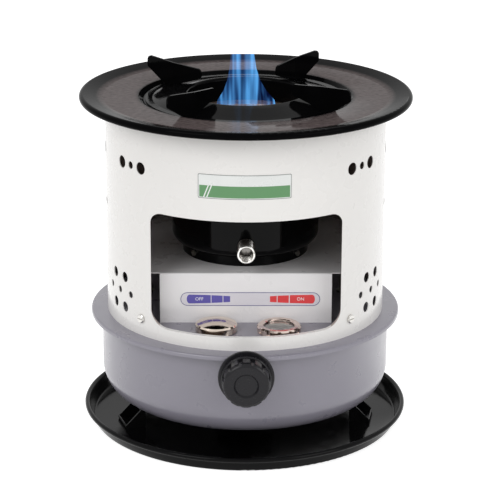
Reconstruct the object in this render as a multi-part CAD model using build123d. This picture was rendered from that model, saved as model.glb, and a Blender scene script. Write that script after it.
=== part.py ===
"""One-burner kerosene stove on a drip tray, as an assembly of separate pieces.

Millimetres, +Z up, -Y to the front, +X to the right of someone facing the front.
The origin is the centre of the drip tray's underside, on the floor.
"""

import os
from math import cos, hypot, pi, radians, sin, sqrt, tan

from build123d import *

# Fits and sheet gauges
RUNNING = 0.05
NEST = 0.3
TRAY_SHEET = 0.9
TANK_SHEET = 0.9
CASING_SHEET = 0.8
DECK_SHEET = 0.8
PLATE_SHEET = 0.8
BURNER_SHEET = 0.8

# Drip tray
TRAY_BASE_RADIUS = 155.5
TRAY_RADIUS = 164.5
TRAY_HEIGHT = 16.5
TRAY_BEAD = 2.5
TRAY_BEND = 2.0

# Tank
TANK_CLEARANCE = 28.1
TANK_RADIUS = 145.0
TANK_CORNER = 31.0
TANK_HOLE = 30.5
SEAM_RADIUS = 156.0
SEAM_TOP = 118.0
SEAM_DROP = 4.2
SEAM_EDGE = 1.2
PLATEAU_RISE = 9.0
PLATEAU_BEND = 3.0

# Legs
LEG_RADIUS = 110.0
LEG_WIDTH = 30.0
LEG_SHEET = 1.2
LEG_FOOT = 21.0
LEG_TOP_FLANGE = 17.0
LEG_LIP = 3.5
LEG_WEB_HEIGHT = 20.0
LEG_AZIMUTHS = (-162.7, -9.3, 94.0)

# Wick tubes
AIR_TUBE_RADIUS = 29.5
AIR_TUBE_SHEET = 0.9
AIR_TUBE_TOP = 190.0
AIR_TUBE_FLANGE = 6.0
OUTER_TUBE_RADIUS = 40.9
OUTER_TUBE_SHEET = 0.9
OUTER_TUBE_BOTTOM = 62.0
OUTER_TUBE_TOP = 188.0
NECK_RADIUS = 35.3
NECK_BOTTOM = 164.0
NECK_TAPER = 6.0
OUTER_FLANGE_RADIUS = 56.0
OUTER_FLANGE_THICKNESS = 1.2
STUD_CIRCLE = 48.5
FUEL_SLOT_WIDTH = 8.0
FUEL_SLOT_HEIGHT = 18.0

# Wick and its carrier, shown raised for burning
WICK_GAP = 0.6
WICK_THICKNESS = 3.1
WICK_TOP = 197.0
WICK_BOTTOM = 60.0
CARRIER_GAP = 0.1
CARRIER_SHEET = 0.9
CARRIER_BOTTOM = 88.0
CARRIER_TOP = 150.0
PRONG_HEIGHT = 140.0
PRONG_SIZE = 3.0
GEAR_MODULE = 1.0
PINION_TEETH = 14
PINION_WIDTH = 3.4
PINION_TOOTH_ROOT = 9.3
PINION_TOOTH_TIP = 2.8
GEAR_BACKLASH = 0.2
RACK_TEETH = 9
RACK_BACK = 3.2

# Dial
DIAL_HEIGHT = 98.3
SHAFT_RADIUS = 3.0
SHAFT_FLAT = 2.3
KNOB_BACK = 157.6
KNOB_FLANGE_RADIUS = 27.0
KNOB_FLANGE_THICKNESS = 2.6
KNOB_SKIRT_RADIUS = 24.2
KNOB_SKIRT_DEPTH = 6.8
KNOB_GRIP_RADIUS = 23.2
KNOB_FACE_RADIUS = 18.7
KNOB_DEPTH = 23.9
KNOB_LOBES = 12
KNOB_NOTCH_RADIUS = 3.0
KNOB_NOTCH_CENTRE = 24.4
KNOB_RECESS_RADIUS = 12.0
KNOB_RECESS_DEPTH = 2.0
GLAND_RADIUS = 12.5
GLAND_FLANGE = 3.5
GLAND_NUT_SIZE = 15.0
GLAND_NUT_LENGTH = 6.0
GLAND_SPIGOT_RADIUS = 7.5
SHAFT_TUBE_RADIUS = 5.2
SHAFT_TUBE_SHEET = 0.8
PACKING_LENGTH = 5.0

# Fuel cap and filler
FILLER_X = -28.8
FILLER_Y = -107.0
CAP_RADIUS = 20.3
CAP_LIFT = 0.8
CAP_SKIRT_HEIGHT = 6.0
CAP_EDGE = 1.2
CAP_DOME = 3.5
CAP_SHEET = 1.1
NECK_TUBE_RADIUS = 15.0
NECK_TUBE_SHEET = 0.8
NECK_TUBE_HEIGHT = 5.0
NECK_TUBE_DEPTH = 4.0
NECK_FLANGE = 3.0
THREAD_GAP = 0.5
GASKET_THICKNESS = 1.6
GASKET_HOLE = 10.5
STRAINER_RADIUS = 12.9
STRAINER_SHEET = 0.6
STRAINER_DEPTH = 46.0
STRAINER_SLOTS = 4

# Fuel gauge
GAUGE_X = 32.2
GAUGE_Y = -107.0
BEZEL_RADIUS = 21.5
BEZEL_HEIGHT = 6.6
BEZEL_OPENING = 15.0
BEZEL_NOTCHES = 12
BEZEL_NOTCH_RADIUS = 2.3
BEZEL_LEDGE = 1.4
LENS_THICKNESS = 1.2
LENS_HEIGHT = 3.4
GAUGE_CUP_RADIUS = 16.2
GAUGE_CUP_SHEET = 0.8
GAUGE_CUP_DEPTH = 7.0
GAUGE_FLANGE = 3.3
GAUGE_DISC_RADIUS = 13.6
GAUGE_DISC_THICKNESS = 0.6
SPINDLE_PIN_RADIUS = 1.2
SPINDLE_WIDTH = 4.0
SPINDLE_THICKNESS = 0.8
SPINDLE_BOTTOM = 36.0
SPINDLE_STEPS = 12
GUIDE_ROD_RADIUS = 1.4
GUIDE_ROD_SPACING = 8.5
FLOAT_RADIUS = 12.0
FLOAT_HEIGHT = 12.0
FLOAT_BOTTOM = 40.0
FLOAT_TRAVEL = 58.0
FLOAT_PLATE = 1.0
FLOAT_BORE = 3.2
FLOAT_CLEARANCE = 0.35
GAUGE_TURN = 150.0

# Deck with its folded front panel
DECK_TOP = 178.0
DECK_RADIUS = 136.0
DECK_FRONT = 84.0
DECK_SETBACK = 2.0
DECK_HOLE = 50.0
PANEL_HALF_WIDTH = 84.0
PANEL_BEND = 1.6
POST_RADIUS = 4.0
POST_FOOT_RADIUS = 7.0
POST_FOOT_THICKNESS = 1.2
POST_PLACES = ((-100.0, 12.0), (100.0, 12.0), (0.0, 108.0))

# Burner
SKIRT_RADIUS = 63.0
SKIRT_GAP = 0.3
SKIRT_HEIGHT = 10.0
DRUM_RADIUS = 73.5
DRUM_FLARE = 2.5
DRUM_SHOULDER = 298.0
DRUM_NECK_RADIUS = 60.0
DRUM_NECK_BOTTOM = 314.0
DRUM_TOP = 322.0
SEAT_RADIUS = 60.4
SEAT_SHEET = 1.0
SEAT_HOLES = 6
SEAT_HOLE_RADIUS = 3.2
BASE_PLATE_TOP = 187.0
BASE_PLATE_FLANGE = 7.0
BASE_PLATE_HOLES = 8
BASE_HOLE_CIRCLE = 49.0
BASE_PLATE_COLLAR = 8.0
DRUM_SCREW_AZIMUTHS = (-143.5, -36.5, 90.0)
DRUM_SCREW_HEIGHT = 183.6
DRUM_SCREW_RADIUS = 1.4
DRUM_SCREW_HEAD_RADIUS = 2.7
DRUM_SCREW_HEAD = 1.9
FLAME_TUBE_GAP = 0.3
INNER_FLAME_RADIUS = 28.8
OUTER_FLAME_RADIUS = 36.0
INNER_FLAME_TOP = 300.0
OUTER_FLAME_TOP = 296.0
FLAME_HOLE_RADIUS = 2.4
FLAME_COLUMNS = 6
FLAME_ROWS = 3
FLAME_ROW_START = 224.0
FLAME_ROW_STEP = 22.0
PIN_HEIGHT = 207.0
PIN_RADIUS = 1.5
PIN_AZIMUTHS = (30.0, 150.0, 270.0)
SPREADER_RADIUS = 30.5
SPREADER_DOME = 7.0
SPREADER_SPIGOT = 8.0
CONE_BOTTOM = 284.0
CONE_FLARE_START = 291.0
CONE_FLARE_END = 311.0
CONE_TOP = 316.0

# Spring handle of the burner drum
HANDLE_HEIGHT = 202.3
STUD_RADIUS = 2.5
STUD_LENGTH = 10.5
STUD_HEAD_RADIUS = 4.4
STUD_HEAD = 2.6
STUD_NUT_RADIUS = 4.2
BOSS_LENGTH = 4.0
SPRING_RADIUS = 8.8
SPRING_WIRE = 2.2
SPRING_PITCH = 2.95
SPRING_TURNS = 9
SPRING_STEPS_PER_TURN = 4

# Casing
CASING_RADIUS = 139.5
WINDOW_HALF_WIDTH = 91.8
WINDOW_BOTTOM = 131.4
WINDOW_TOP = 247.4
WINDOW_TOP_CORNER = 11.0
WINDOW_BOTTOM_CORNER = 17.0
WINDOW_LIP = 4.4
WINDOW_ROLL = 2.0
CASING_TOP_FLANGE = 8.5
UPPER_HOLE_HEIGHT = 287.5
UPPER_HOLE_RADIUS = 6.1
UPPER_SMALL_RADIUS = 3.7
UPPER_HOLE_STEP = 6.3
UPPER_GROUPS = 8
UPPER_FIRST = -37.3
UPPER_LAST = 217.3
LOWER_HOLE_RADIUS = 5.2
LOWER_SMALL_RADIUS = 3.5
LOWER_HOLE_STEP = 4.25
LOWER_ROW_HEIGHT = 155.2
LOWER_ROW_STEP = 15.4
LOWER_GROUPS = (-152.3, -27.7, 27.7, 90.0, 152.3)
GRIP_TOP = 250.0
GRIP_BOTTOM = 231.0
GRIP_DEPTH = 10.5
GRIP_ROLL = 70.0
GRIP_AZIMUTHS = (0.0, 180.0)
CASING_SCREW_HEIGHT = 135.4
CASING_SCREW_AZIMUTHS = (-136.8, -43.2, 43.2, 136.8)
CASING_SCREW_HEAD_RADIUS = 4.5
CASING_SCREW_HEAD = 2.4
CASING_SCREW_RADIUS = 1.9
CASING_SCREW_LENGTH = 6.5
BRACKET_WIDTH = 15.0
BRACKET_SHEET = 1.2
BRACKET_FOOT = 15.0
BRACKET_GAP = 0.4
BRACKET_BOSS = 3.6

# Top plate
PLATE_TOP = 336.0
PLATE_RADIUS = 164.8
RIM_RISE = 4.0
RIM_BEAD = 3.6
RIM_SLOPE = 11.6
STEP_RADIUS = 106.0
STEP_RUN = 4.5
LEDGE_DROP = 3.6
LEDGE_INNER = 88.0
PLATE_HOLE = 84.0
RIB_GAP = 0.8
RIB_DEPTH = 8.0

# Pot ring and its supports
HUB_SHEET = 1.2
HUB_OUTER = 99.5
HUB_SLOPE_START = 92.5
HUB_RISE = 7.1
HUB_HOLE = 57.0
HUB_LIP_BEND = 2.0
HUB_COLLAR = 18.2
SUPPORT_SHEET = 2.0
SUPPORT_AZIMUTHS = (55.5, 145.5, -124.5, -34.5)
SUPPORT_NOSE = 54.0
SUPPORT_NOSE_LIFT = 3.9
SUPPORT_NOSE_DEPTH = 9.6
SUPPORT_TIP = 124.3
SUPPORT_TIP_RISE = 5.1
SUPPORT_TIP_DEPTH = 11.8
SUPPORT_FOOT_OUTER = 101.0
SUPPORT_FOOT_INNER = 86.0
SUPPORT_THROAT = 67.0
SUPPORT_THROAT_LIFT = 1.5
SUPPORT_FOLD_RADIUS = 88.0
SUPPORT_FOLD = -9.0
SUPPORT_FOLD_BEND = 6.0

# Heights and radii that follow from the driving sizes
PLATEAU_TOP = SEAM_TOP + PLATEAU_RISE
PLATEAU_RADIUS = CASING_RADIUS - CASING_SHEET - NEST
PLATE_UNDER = PLATE_TOP - PLATE_SHEET
LEDGE_TOP = PLATE_TOP - LEDGE_DROP
RIB_RADIUS = CASING_RADIUS - CASING_TOP_FLANGE - RIB_GAP - PLATE_SHEET / 2
HUB_FLAT = LEDGE_TOP + HUB_SHEET
HUB_PEAK = HUB_FLAT + HUB_RISE
HUB_SLOPE = HUB_RISE / (HUB_SLOPE_START - HUB_HOLE)
SUPPORT_THROAT_HEIGHT = HUB_FLAT + HUB_SLOPE * (HUB_SLOPE_START - SUPPORT_THROAT) + SUPPORT_THROAT_LIFT
SUPPORT_NOSE_BOTTOM = HUB_PEAK + SUPPORT_NOSE_LIFT
SUPPORT_NOSE_TOP = SUPPORT_NOSE_BOTTOM + SUPPORT_NOSE_DEPTH
SUPPORT_TIP_TOP = SUPPORT_NOSE_TOP + SUPPORT_TIP_RISE
SUPPORT_TIP_BOTTOM = SUPPORT_TIP_TOP - SUPPORT_TIP_DEPTH
BASE_UNDER = BASE_PLATE_TOP - BURNER_SHEET
DRUM_INNER = DRUM_RADIUS - BURNER_SHEET
DRUM_NECK_INNER = DRUM_NECK_RADIUS - BURNER_SHEET
FLANGE_TOP = PLATEAU_TOP + OUTER_FLANGE_THICKNESS
NECK_TOP = PLATEAU_TOP + NECK_TUBE_HEIGHT
GASKET_BOTTOM = NECK_TOP + STRAINER_SHEET
GASKET_TOP = GASKET_BOTTOM + GASKET_THICKNESS
CUP_BOTTOM = PLATEAU_TOP - GAUGE_CUP_DEPTH
FLOAT_TOP = FLOAT_BOTTOM + FLOAT_HEIGHT
PITCH_RADIUS = GEAR_MODULE * PINION_TEETH / 2
WICK_INNER = AIR_TUBE_RADIUS + WICK_GAP
WICK_OUTER = WICK_INNER + WICK_THICKNESS
CARRIER_INNER = WICK_OUTER + CARRIER_GAP
CARRIER_RADIUS = CARRIER_INNER + CARRIER_SHEET
PINION_REAR = -(CARRIER_RADIUS + 0.8)
PINION_FRONT = PINION_REAR - PINION_WIDTH
SHAFT_COLLAR = 1.0
SPRING_CENTRE_RADIUS = SPRING_RADIUS - SPRING_WIRE / 2
FACE = -(KNOB_BACK + KNOB_DEPTH)


def offset_points(points, thickness):
    """Shift an open outline to its left by the sheet thickness, with mitred corners."""
    normals = []
    for (r0, z0), (r1, z1) in zip(points, points[1:]):
        length = hypot(r1 - r0, z1 - z0)
        normals.append(((z0 - z1) / length, (r1 - r0) / length))
    r, z = points[0]
    shifted = [(r + thickness * normals[0][0], z + thickness * normals[0][1])]
    for (r, z), (nr, nz), (mr, mz) in zip(points[1:], normals, normals[1:]):
        scale = thickness / (1 + nr * mr + nz * mz)
        shifted.append((r + scale * (nr + mr), z + scale * (nz + mz)))
    r, z = points[-1]
    shifted.append((r + thickness * normals[-1][0], z + thickness * normals[-1][1]))
    return shifted


def sheet_section(points, thickness, bends):
    """A bent sheet's section: the points are one side, and the sheet lies to their left."""
    near_radii = []
    far_radii = []
    for before, corner, after, bend in zip(points, points[1:], points[2:], bends):
        run = (corner[0] - before[0], corner[1] - before[1])
        rise = (after[0] - corner[0], after[1] - corner[1])
        left_turn = run[0] * rise[1] - run[1] * rise[0] > 0
        near_radii.append(bend + thickness if left_turn else bend)
        far_radii.append(bend if left_turn else bend + thickness)
    near = FilletPolyline(*points, radius=near_radii)
    far = FilletPolyline(*offset_points(points, thickness), radius=far_radii)
    ends = [Line(near @ 0, far @ 0), Line(near @ 1, far @ 1)]
    return make_face(near.edges() + far.edges() + ends)


def turned(section):
    """Revolve a section drawn in radius and height about the stove's axis."""
    return revolve(Plane.XZ * section, axis=Axis.Z)


def ring(inner, outer, bottom, top):
    """A plain ring about the stove's axis."""
    profile = Pos((inner + outer) / 2, (bottom + top) / 2) * Rectangle(outer - inner, top - bottom)
    return turned(profile)


def disc(radius, bottom, top):
    """A plain disc about the stove's axis."""
    return Pos(0, 0, bottom) * extrude(Circle(radius), top - bottom)


def rod(radius, front, back, height, x=0.0):
    """A rod along Y, from the front value to the back value."""
    return Pos(x, back, height) * extrude(Plane.XZ * Circle(radius), back - front)


def radial(shape, azimuth):
    """Turn a shape built along +X to an azimuth about the stove's axis."""
    return Rot(0, 0, azimuth) * shape


def radial_rod(radius, start, end, height, azimuth):
    """A rod that runs outwards from the axis at an azimuth."""
    return radial(Pos(start, 0, height) * extrude(Plane.YZ * Circle(radius), end - start), azimuth)


def block(x_range, y_range, z_range):
    """A box given by its three ranges."""
    sizes = [high - low for low, high in (x_range, y_range, z_range)]
    middle = [(low + high) / 2 for low, high in (x_range, y_range, z_range)]
    return Pos(*middle) * Box(*sizes)


def merged(shapes):
    """Fuse a list of shapes into one."""
    return shapes[0].fuse(*shapes[1:])


def dome_arc(radius, low, rise):
    """The arc of a dome, from its edge up to the axis."""
    ball = (radius**2 + rise**2) / (2 * rise)
    middle = low + rise - ball + sqrt(ball**2 - radius**2 / 4)
    return ThreePointArc((radius, low), (radius / 2, middle), (0, low + rise))


def fillet_closed(points, radii):
    """A face from a closed outline, with a radius for each of its corners."""
    outline = FilletPolyline(*points, radius=radii, close=True)
    return make_face(outline.edges())


def save(name, shapes):
    """Write one node, as one solid or as a group of separate solids."""
    solids = [solid for shape in shapes for solid in shape.solids()]
    body = solids[0] if len(solids) == 1 else Compound(children=solids)
    export_step(body, f"parts/{name}.step")


def make_drip_tray():
    """Pressed round tray: flat base, conical wall and a rolled rim."""
    bead_radius = TRAY_RADIUS - TRAY_BEAD
    bead_height = TRAY_HEIGHT - TRAY_BEAD
    points = [(0, 0), (TRAY_BASE_RADIUS, 0), (bead_radius - TRAY_BEAD / 3, bead_height)]
    section = sheet_section(points, TRAY_SHEET, [TRAY_BEND])
    section += Pos(bead_radius, bead_height) * Circle(TRAY_BEAD)
    return turned(section)


def make_leg(azimuth):
    """Bent sheet leg: top flange under the tank, riser, foot plate and two side webs."""
    foot_end = LEG_RADIUS + LEG_FOOT
    lip_top = TRAY_SHEET + LEG_LIP
    web_top = TRAY_SHEET + LEG_WEB_HEIGHT
    points = [
        (LEG_RADIUS - LEG_TOP_FLANGE, TANK_CLEARANCE - LEG_SHEET),
        (LEG_RADIUS, TANK_CLEARANCE - LEG_SHEET),
        (LEG_RADIUS, TRAY_SHEET),
        (foot_end, TRAY_SHEET),
        (foot_end, lip_top),
    ]
    strip = Plane.XZ * sheet_section(points, LEG_SHEET, [0.6, 0.6, 0.6])
    body = Pos(0, LEG_WIDTH / 2, 0) * extrude(strip, LEG_WIDTH)
    web_points = [
        (LEG_RADIUS + LEG_SHEET / 2, TRAY_SHEET + LEG_SHEET / 2),
        (foot_end - LEG_SHEET / 2, TRAY_SHEET + LEG_SHEET / 2),
        (foot_end - LEG_SHEET / 2, lip_top),
        (LEG_RADIUS + 3 * LEG_SHEET, web_top),
        (LEG_RADIUS + LEG_SHEET / 2, web_top),
    ]
    web = extrude(Plane.XZ * make_face(Polyline(*web_points, close=True)), LEG_SHEET)
    near_web = Pos(0, -LEG_WIDTH / 2 + LEG_SHEET, 0) * web
    far_web = Pos(0, LEG_WIDTH / 2, 0) * web
    return radial(merged([body, near_web, far_web]), azimuth)


def make_tank_bowl():
    """Deep-drawn bowl with a seam flange, a hole for the air tube and one for the gland."""
    seam_under = SEAM_TOP - 2 * TANK_SHEET
    flange = SEAM_RADIUS - TANK_SHEET - SEAM_EDGE - 0.1
    points = [
        (TANK_HOLE, TANK_CLEARANCE),
        (TANK_RADIUS, TANK_CLEARANCE),
        (TANK_RADIUS, seam_under),
        (flange, seam_under),
    ]
    bowl = turned(sheet_section(points, TANK_SHEET, [TANK_CORNER - TANK_SHEET, 1.2]))
    gland_hole = rod(GLAND_SPIGOT_RADIUS + RUNNING, -TANK_RADIUS - 5, -TANK_RADIUS + 10, DIAL_HEIGHT)
    return bowl - gland_hole


def make_tank_top():
    """Tank top with a turned-down seam edge and a raised plateau inside the casing."""
    points = [
        (SEAM_RADIUS, SEAM_TOP - SEAM_DROP),
        (SEAM_RADIUS, SEAM_TOP),
        (PLATEAU_RADIUS, SEAM_TOP),
        (PLATEAU_RADIUS, PLATEAU_TOP),
        (OUTER_TUBE_RADIUS + NEST, PLATEAU_TOP),
    ]
    top = turned(sheet_section(points, TANK_SHEET, [SEAM_EDGE, NEST, PLATEAU_BEND]))
    tools = [
        Pos(FILLER_X, FILLER_Y, 0) * disc(NECK_TUBE_RADIUS + RUNNING, SEAM_TOP, PLATEAU_TOP + 1),
        Pos(GAUGE_X, GAUGE_Y, 0) * disc(GAUGE_CUP_RADIUS + NEST, SEAM_TOP, PLATEAU_TOP + 1),
    ]
    for azimuth in (45, 135, 225, 315):
        hole = Pos(STUD_CIRCLE, 0, 0) * disc(2 + RUNNING, SEAM_TOP, PLATEAU_TOP + 1)
        tools.append(radial(hole, azimuth))
    return top.cut(*tools)


def make_wick_inner_tube():
    """Central air tube with a flange on the tank's floor."""
    floor = TANK_CLEARANCE + TANK_SHEET
    points = [
        (AIR_TUBE_RADIUS + AIR_TUBE_FLANGE, floor + AIR_TUBE_SHEET),
        (AIR_TUBE_RADIUS, floor + AIR_TUBE_SHEET),
        (AIR_TUBE_RADIUS, AIR_TUBE_TOP),
    ]
    return turned(sheet_section(points, AIR_TUBE_SHEET, [0.6]))


def make_wick_outer_tube():
    """Outer wick tube: wide below, a neck above, and a bolting flange on the plateau."""
    points = [
        (OUTER_TUBE_RADIUS, OUTER_TUBE_BOTTOM),
        (OUTER_TUBE_RADIUS, NECK_BOTTOM - NECK_TAPER),
        (NECK_RADIUS, NECK_BOTTOM),
        (NECK_RADIUS, OUTER_TUBE_TOP),
    ]
    tube = turned(sheet_section(points, OUTER_TUBE_SHEET, [2.0, 2.0]))
    flange_inner = OUTER_TUBE_RADIUS - OUTER_TUBE_SHEET / 2
    tube += ring(flange_inner, OUTER_FLANGE_RADIUS, PLATEAU_TOP, FLANGE_TOP)
    tools = [rod(SHAFT_TUBE_RADIUS + RUNNING, -OUTER_TUBE_RADIUS - 5, -30, DIAL_HEIGHT)]
    slot_bottom = OUTER_TUBE_BOTTOM + 5
    for azimuth in (45, 135, 225, 315):
        half = FUEL_SLOT_WIDTH / 2
        slot = block((35, 45), (-half, half), (slot_bottom, slot_bottom + FUEL_SLOT_HEIGHT))
        tools.append(radial(slot, azimuth))
        hole = Pos(STUD_CIRCLE, 0, 0) * disc(2 + RUNNING, PLATEAU_TOP - 1, FLANGE_TOP + 1)
        tools.append(radial(hole, azimuth))
    return tube.cut(*tools)


def make_wick_tube_nuts():
    """Four studs with hexagon nuts on the wick tube's flange."""
    stud = disc(2, PLATEAU_TOP - 3, FLANGE_TOP + 5)
    nut = Pos(0, 0, FLANGE_TOP) * extrude(RegularPolygon(4.0, 6), 3.2)
    piece = Pos(STUD_CIRCLE, 0, 0) * (stud + nut)
    return [radial(piece, azimuth) for azimuth in (45, 135, 225, 315)]


def make_prong():
    """A prong that runs from the carrier through the wick, along +X."""
    half = PRONG_SIZE / 2
    return block((WICK_INNER, CARRIER_INNER + 0.4), (-half, half), (PRONG_HEIGHT - half, PRONG_HEIGHT + half))


def make_wick_carrier():
    """Carrier sleeve with three prongs and the rack that the pinion drives."""
    sleeve = ring(CARRIER_INNER, CARRIER_RADIUS, CARRIER_BOTTOM, CARRIER_TOP)
    pitch = pi * GEAR_MODULE
    root = -PITCH_RADIUS - 1.25 * GEAR_MODULE
    tip = -PITCH_RADIUS + GEAR_MODULE
    slope = tan(radians(20))
    half = pitch / 4 - GEAR_BACKLASH / 2
    half_root = half + slope * (-PITCH_RADIUS - root)
    half_tip = half - slope * (tip + PITCH_RADIUS)
    first = DIAL_HEIGHT - 1.5 * pitch
    rack_front = PINION_FRONT + 0.8
    rack_rear = -(CARRIER_INNER + CARRIER_RADIUS) / 2 + 1.2
    bar = block(
        (root - RACK_BACK, root),
        (rack_front, rack_rear),
        (first - pitch / 2, first + pitch * (RACK_TEETH - 0.5)),
    )
    pieces = [sleeve, bar]
    for index in range(RACK_TEETH):
        height = first + index * pitch
        points = [
            (root - 0.2, height - half_root),
            (root, height - half_root),
            (tip, height - half_tip),
            (tip, height + half_tip),
            (root, height + half_root),
            (root - 0.2, height + half_root),
        ]
        tooth = extrude(Plane.XZ * make_face(Polyline(*points, close=True)), -CARRIER_RADIUS + 1 - rack_front)
        pieces.append(Pos(0, -CARRIER_RADIUS + 1, 0) * tooth)
    pieces += [radial(make_prong(), azimuth) for azimuth in (30, 150, 90)]
    return merged(pieces)


def make_wick():
    """Woven wick tube, pierced by the carrier's prongs."""
    wick = ring(WICK_INNER, WICK_OUTER, WICK_BOTTOM, WICK_TOP)
    return wick.cut(*[radial(make_prong(), azimuth) for azimuth in (30, 150, 90)])


def make_wick_pinion():
    """Pinion on the dial shaft, with one tooth towards the rack."""
    root = PITCH_RADIUS - 1.3 * GEAR_MODULE
    tip = PITCH_RADIUS + GEAR_MODULE
    points = []
    for index in range(PINION_TEETH):
        middle = 180 + 360 * index / PINION_TEETH
        for radius, step in (
            (root, -PINION_TOOTH_ROOT),
            (tip, -PINION_TOOTH_TIP),
            (tip, PINION_TOOTH_TIP),
            (root, PINION_TOOTH_ROOT),
        ):
            angle = radians(middle + step)
            points.append((radius * cos(angle), DIAL_HEIGHT + radius * sin(angle)))
    gear = Pos(0, PINION_REAR, 0) * extrude(Plane.XZ * make_face(Polyline(*points, close=True)), PINION_WIDTH)
    return gear - rod(SHAFT_RADIUS + RUNNING, PINION_FRONT - 1, PINION_REAR + 1, DIAL_HEIGHT)


def make_shaft_flat(front):
    """The block that leaves a driving flat on the shaft's front end."""
    return block((-5, 5), (front, -KNOB_BACK), (DIAL_HEIGHT + SHAFT_FLAT, DIAL_HEIGHT + 6))


def make_dial_shaft():
    """Dial shaft with a collar against the pinion and a driving flat for the knob."""
    front = FACE + 5
    shaft = rod(SHAFT_RADIUS, front, PINION_REAR, DIAL_HEIGHT)
    shaft += rod(SHAFT_RADIUS + 1, PINION_FRONT - SHAFT_COLLAR, PINION_FRONT, DIAL_HEIGHT)
    return shaft - make_shaft_flat(front - 1)


def make_control_knob():
    """Knob with a back flange, a skirt, a lobed grip and a shallow dish in its face."""
    back = KNOB_BACK
    flange = back + KNOB_FLANGE_THICKNESS
    skirt = flange + KNOB_SKIRT_DEPTH
    face = back + KNOB_DEPTH
    round_edge = KNOB_GRIP_RADIUS - KNOB_FACE_RADIUS
    outline = [
        (0, back),
        (KNOB_FLANGE_RADIUS, back),
        (KNOB_FLANGE_RADIUS, flange - 0.6),
        (KNOB_FLANGE_RADIUS - 0.6, flange),
        (KNOB_SKIRT_RADIUS, flange),
        (KNOB_SKIRT_RADIUS, skirt - 1.2),
        (KNOB_SKIRT_RADIUS - 1.2, skirt),
        (0, skirt),
    ]
    base = turned(make_face(Polyline(*outline, close=True)))
    side = Line((KNOB_GRIP_RADIUS, skirt - 1), (KNOB_GRIP_RADIUS - 0.4, face - 4))
    corner = (KNOB_FACE_RADIUS + round_edge * 0.62, face - 1.3)
    edge = ThreePointArc(side @ 1, corner, (KNOB_FACE_RADIUS, face))
    dish_wall = KNOB_RECESS_RADIUS - 1.6
    inside = Polyline(
        (KNOB_FACE_RADIUS, face),
        (KNOB_RECESS_RADIUS, face),
        (dish_wall, face - KNOB_RECESS_DEPTH),
        (0, face - KNOB_RECESS_DEPTH),
        (0, skirt - 1),
        (KNOB_GRIP_RADIUS, skirt - 1),
    )
    grip = turned(make_face([side, edge] + inside.edges()))
    tools = []
    for index in range(KNOB_LOBES):
        notch = Pos(KNOB_NOTCH_CENTRE, 0, 0) * disc(KNOB_NOTCH_RADIUS, skirt, face + 2)
        tools.append(radial(notch, (index + 0.5) * 360 / KNOB_LOBES))
    knob = Rot(90, 0, 0) * (base + grip.cut(*tools))
    knob = Pos(0, 0, DIAL_HEIGHT) * knob
    bore = rod(SHAFT_RADIUS + RUNNING, FACE + 5, -KNOB_BACK + 1, DIAL_HEIGHT)
    return knob - (bore - make_shaft_flat(FACE + 4))


def make_shaft_gland():
    """Gland on the tank wall: saddle flange, spigot through the wall and gland nut."""
    flange_front = -TANK_RADIUS - GLAND_FLANGE
    nut_front = flange_front - GLAND_NUT_LENGTH
    spigot_back = -TANK_RADIUS + 7
    flange = rod(GLAND_RADIUS, flange_front, -TANK_RADIUS + 2, DIAL_HEIGHT)
    flange -= disc(TANK_RADIUS + RUNNING, DIAL_HEIGHT - 20, DIAL_HEIGHT + 20)
    spigot = rod(GLAND_SPIGOT_RADIUS, flange_front, spigot_back, DIAL_HEIGHT)
    hexagon = Plane.XZ * RegularPolygon(GLAND_NUT_SIZE / sqrt(3), 6)
    nut = Pos(0, flange_front, DIAL_HEIGHT) * extrude(hexagon, GLAND_NUT_LENGTH)
    body = merged([flange, spigot, nut])
    bore = rod(SHAFT_RADIUS + RUNNING, nut_front - 1, spigot_back + 1, DIAL_HEIGHT)
    pocket = rod(SHAFT_TUBE_RADIUS + RUNNING, -TANK_RADIUS - 6, spigot_back + 1, DIAL_HEIGHT)
    return body.cut(bore, pocket)


def make_shaft_packing():
    """Packing ring between the shaft tube's end and the gland's pocket."""
    front = -TANK_RADIUS - 6
    outer = rod(SHAFT_TUBE_RADIUS, front, front + PACKING_LENGTH, DIAL_HEIGHT)
    return outer - rod(SHAFT_RADIUS + RUNNING, front - 1, front + PACKING_LENGTH + 1, DIAL_HEIGHT)


def make_shaft_tube():
    """Tube that carries the shaft through the fuel space, from the gland to the wick tube."""
    front = -TANK_RADIUS - 6 + PACKING_LENGTH
    back = -OUTER_TUBE_RADIUS + OUTER_TUBE_SHEET / 2
    outer = rod(SHAFT_TUBE_RADIUS, front, back, DIAL_HEIGHT)
    return outer - rod(SHAFT_TUBE_RADIUS - SHAFT_TUBE_SHEET, front - 1, back + 1, DIAL_HEIGHT)


def make_filler_neck():
    """Filler neck with a soldered flange under the plateau."""
    under = PLATEAU_TOP - TANK_SHEET
    inner = NECK_TUBE_RADIUS - NECK_TUBE_SHEET
    neck = ring(inner, NECK_TUBE_RADIUS, PLATEAU_TOP - NECK_TUBE_DEPTH, NECK_TOP)
    neck += ring(inner, NECK_TUBE_RADIUS + NECK_FLANGE, under - NECK_TUBE_SHEET, under)
    return Pos(FILLER_X, FILLER_Y, 0) * neck


def make_filler_strainer():
    """Slotted strainer cup that hangs in the neck by its flange."""
    inner = STRAINER_RADIUS - STRAINER_SHEET
    bottom = NECK_TOP - STRAINER_DEPTH + STRAINER_SHEET
    points = [
        (NECK_TUBE_RADIUS, GASKET_BOTTOM),
        (inner, GASKET_BOTTOM),
        (inner, bottom),
        (0, bottom),
    ]
    cup = turned(sheet_section(points, STRAINER_SHEET, [0.3, 1.0]))
    tools = []
    for index in range(STRAINER_SLOTS):
        slot = block((8, 16), (-1.5, 1.5), (bottom + 4, bottom + 34))
        tools.append(radial(slot, (index + 0.5) * 360 / STRAINER_SLOTS))
    return Pos(FILLER_X, FILLER_Y, 0) * cup.cut(*tools)


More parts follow.
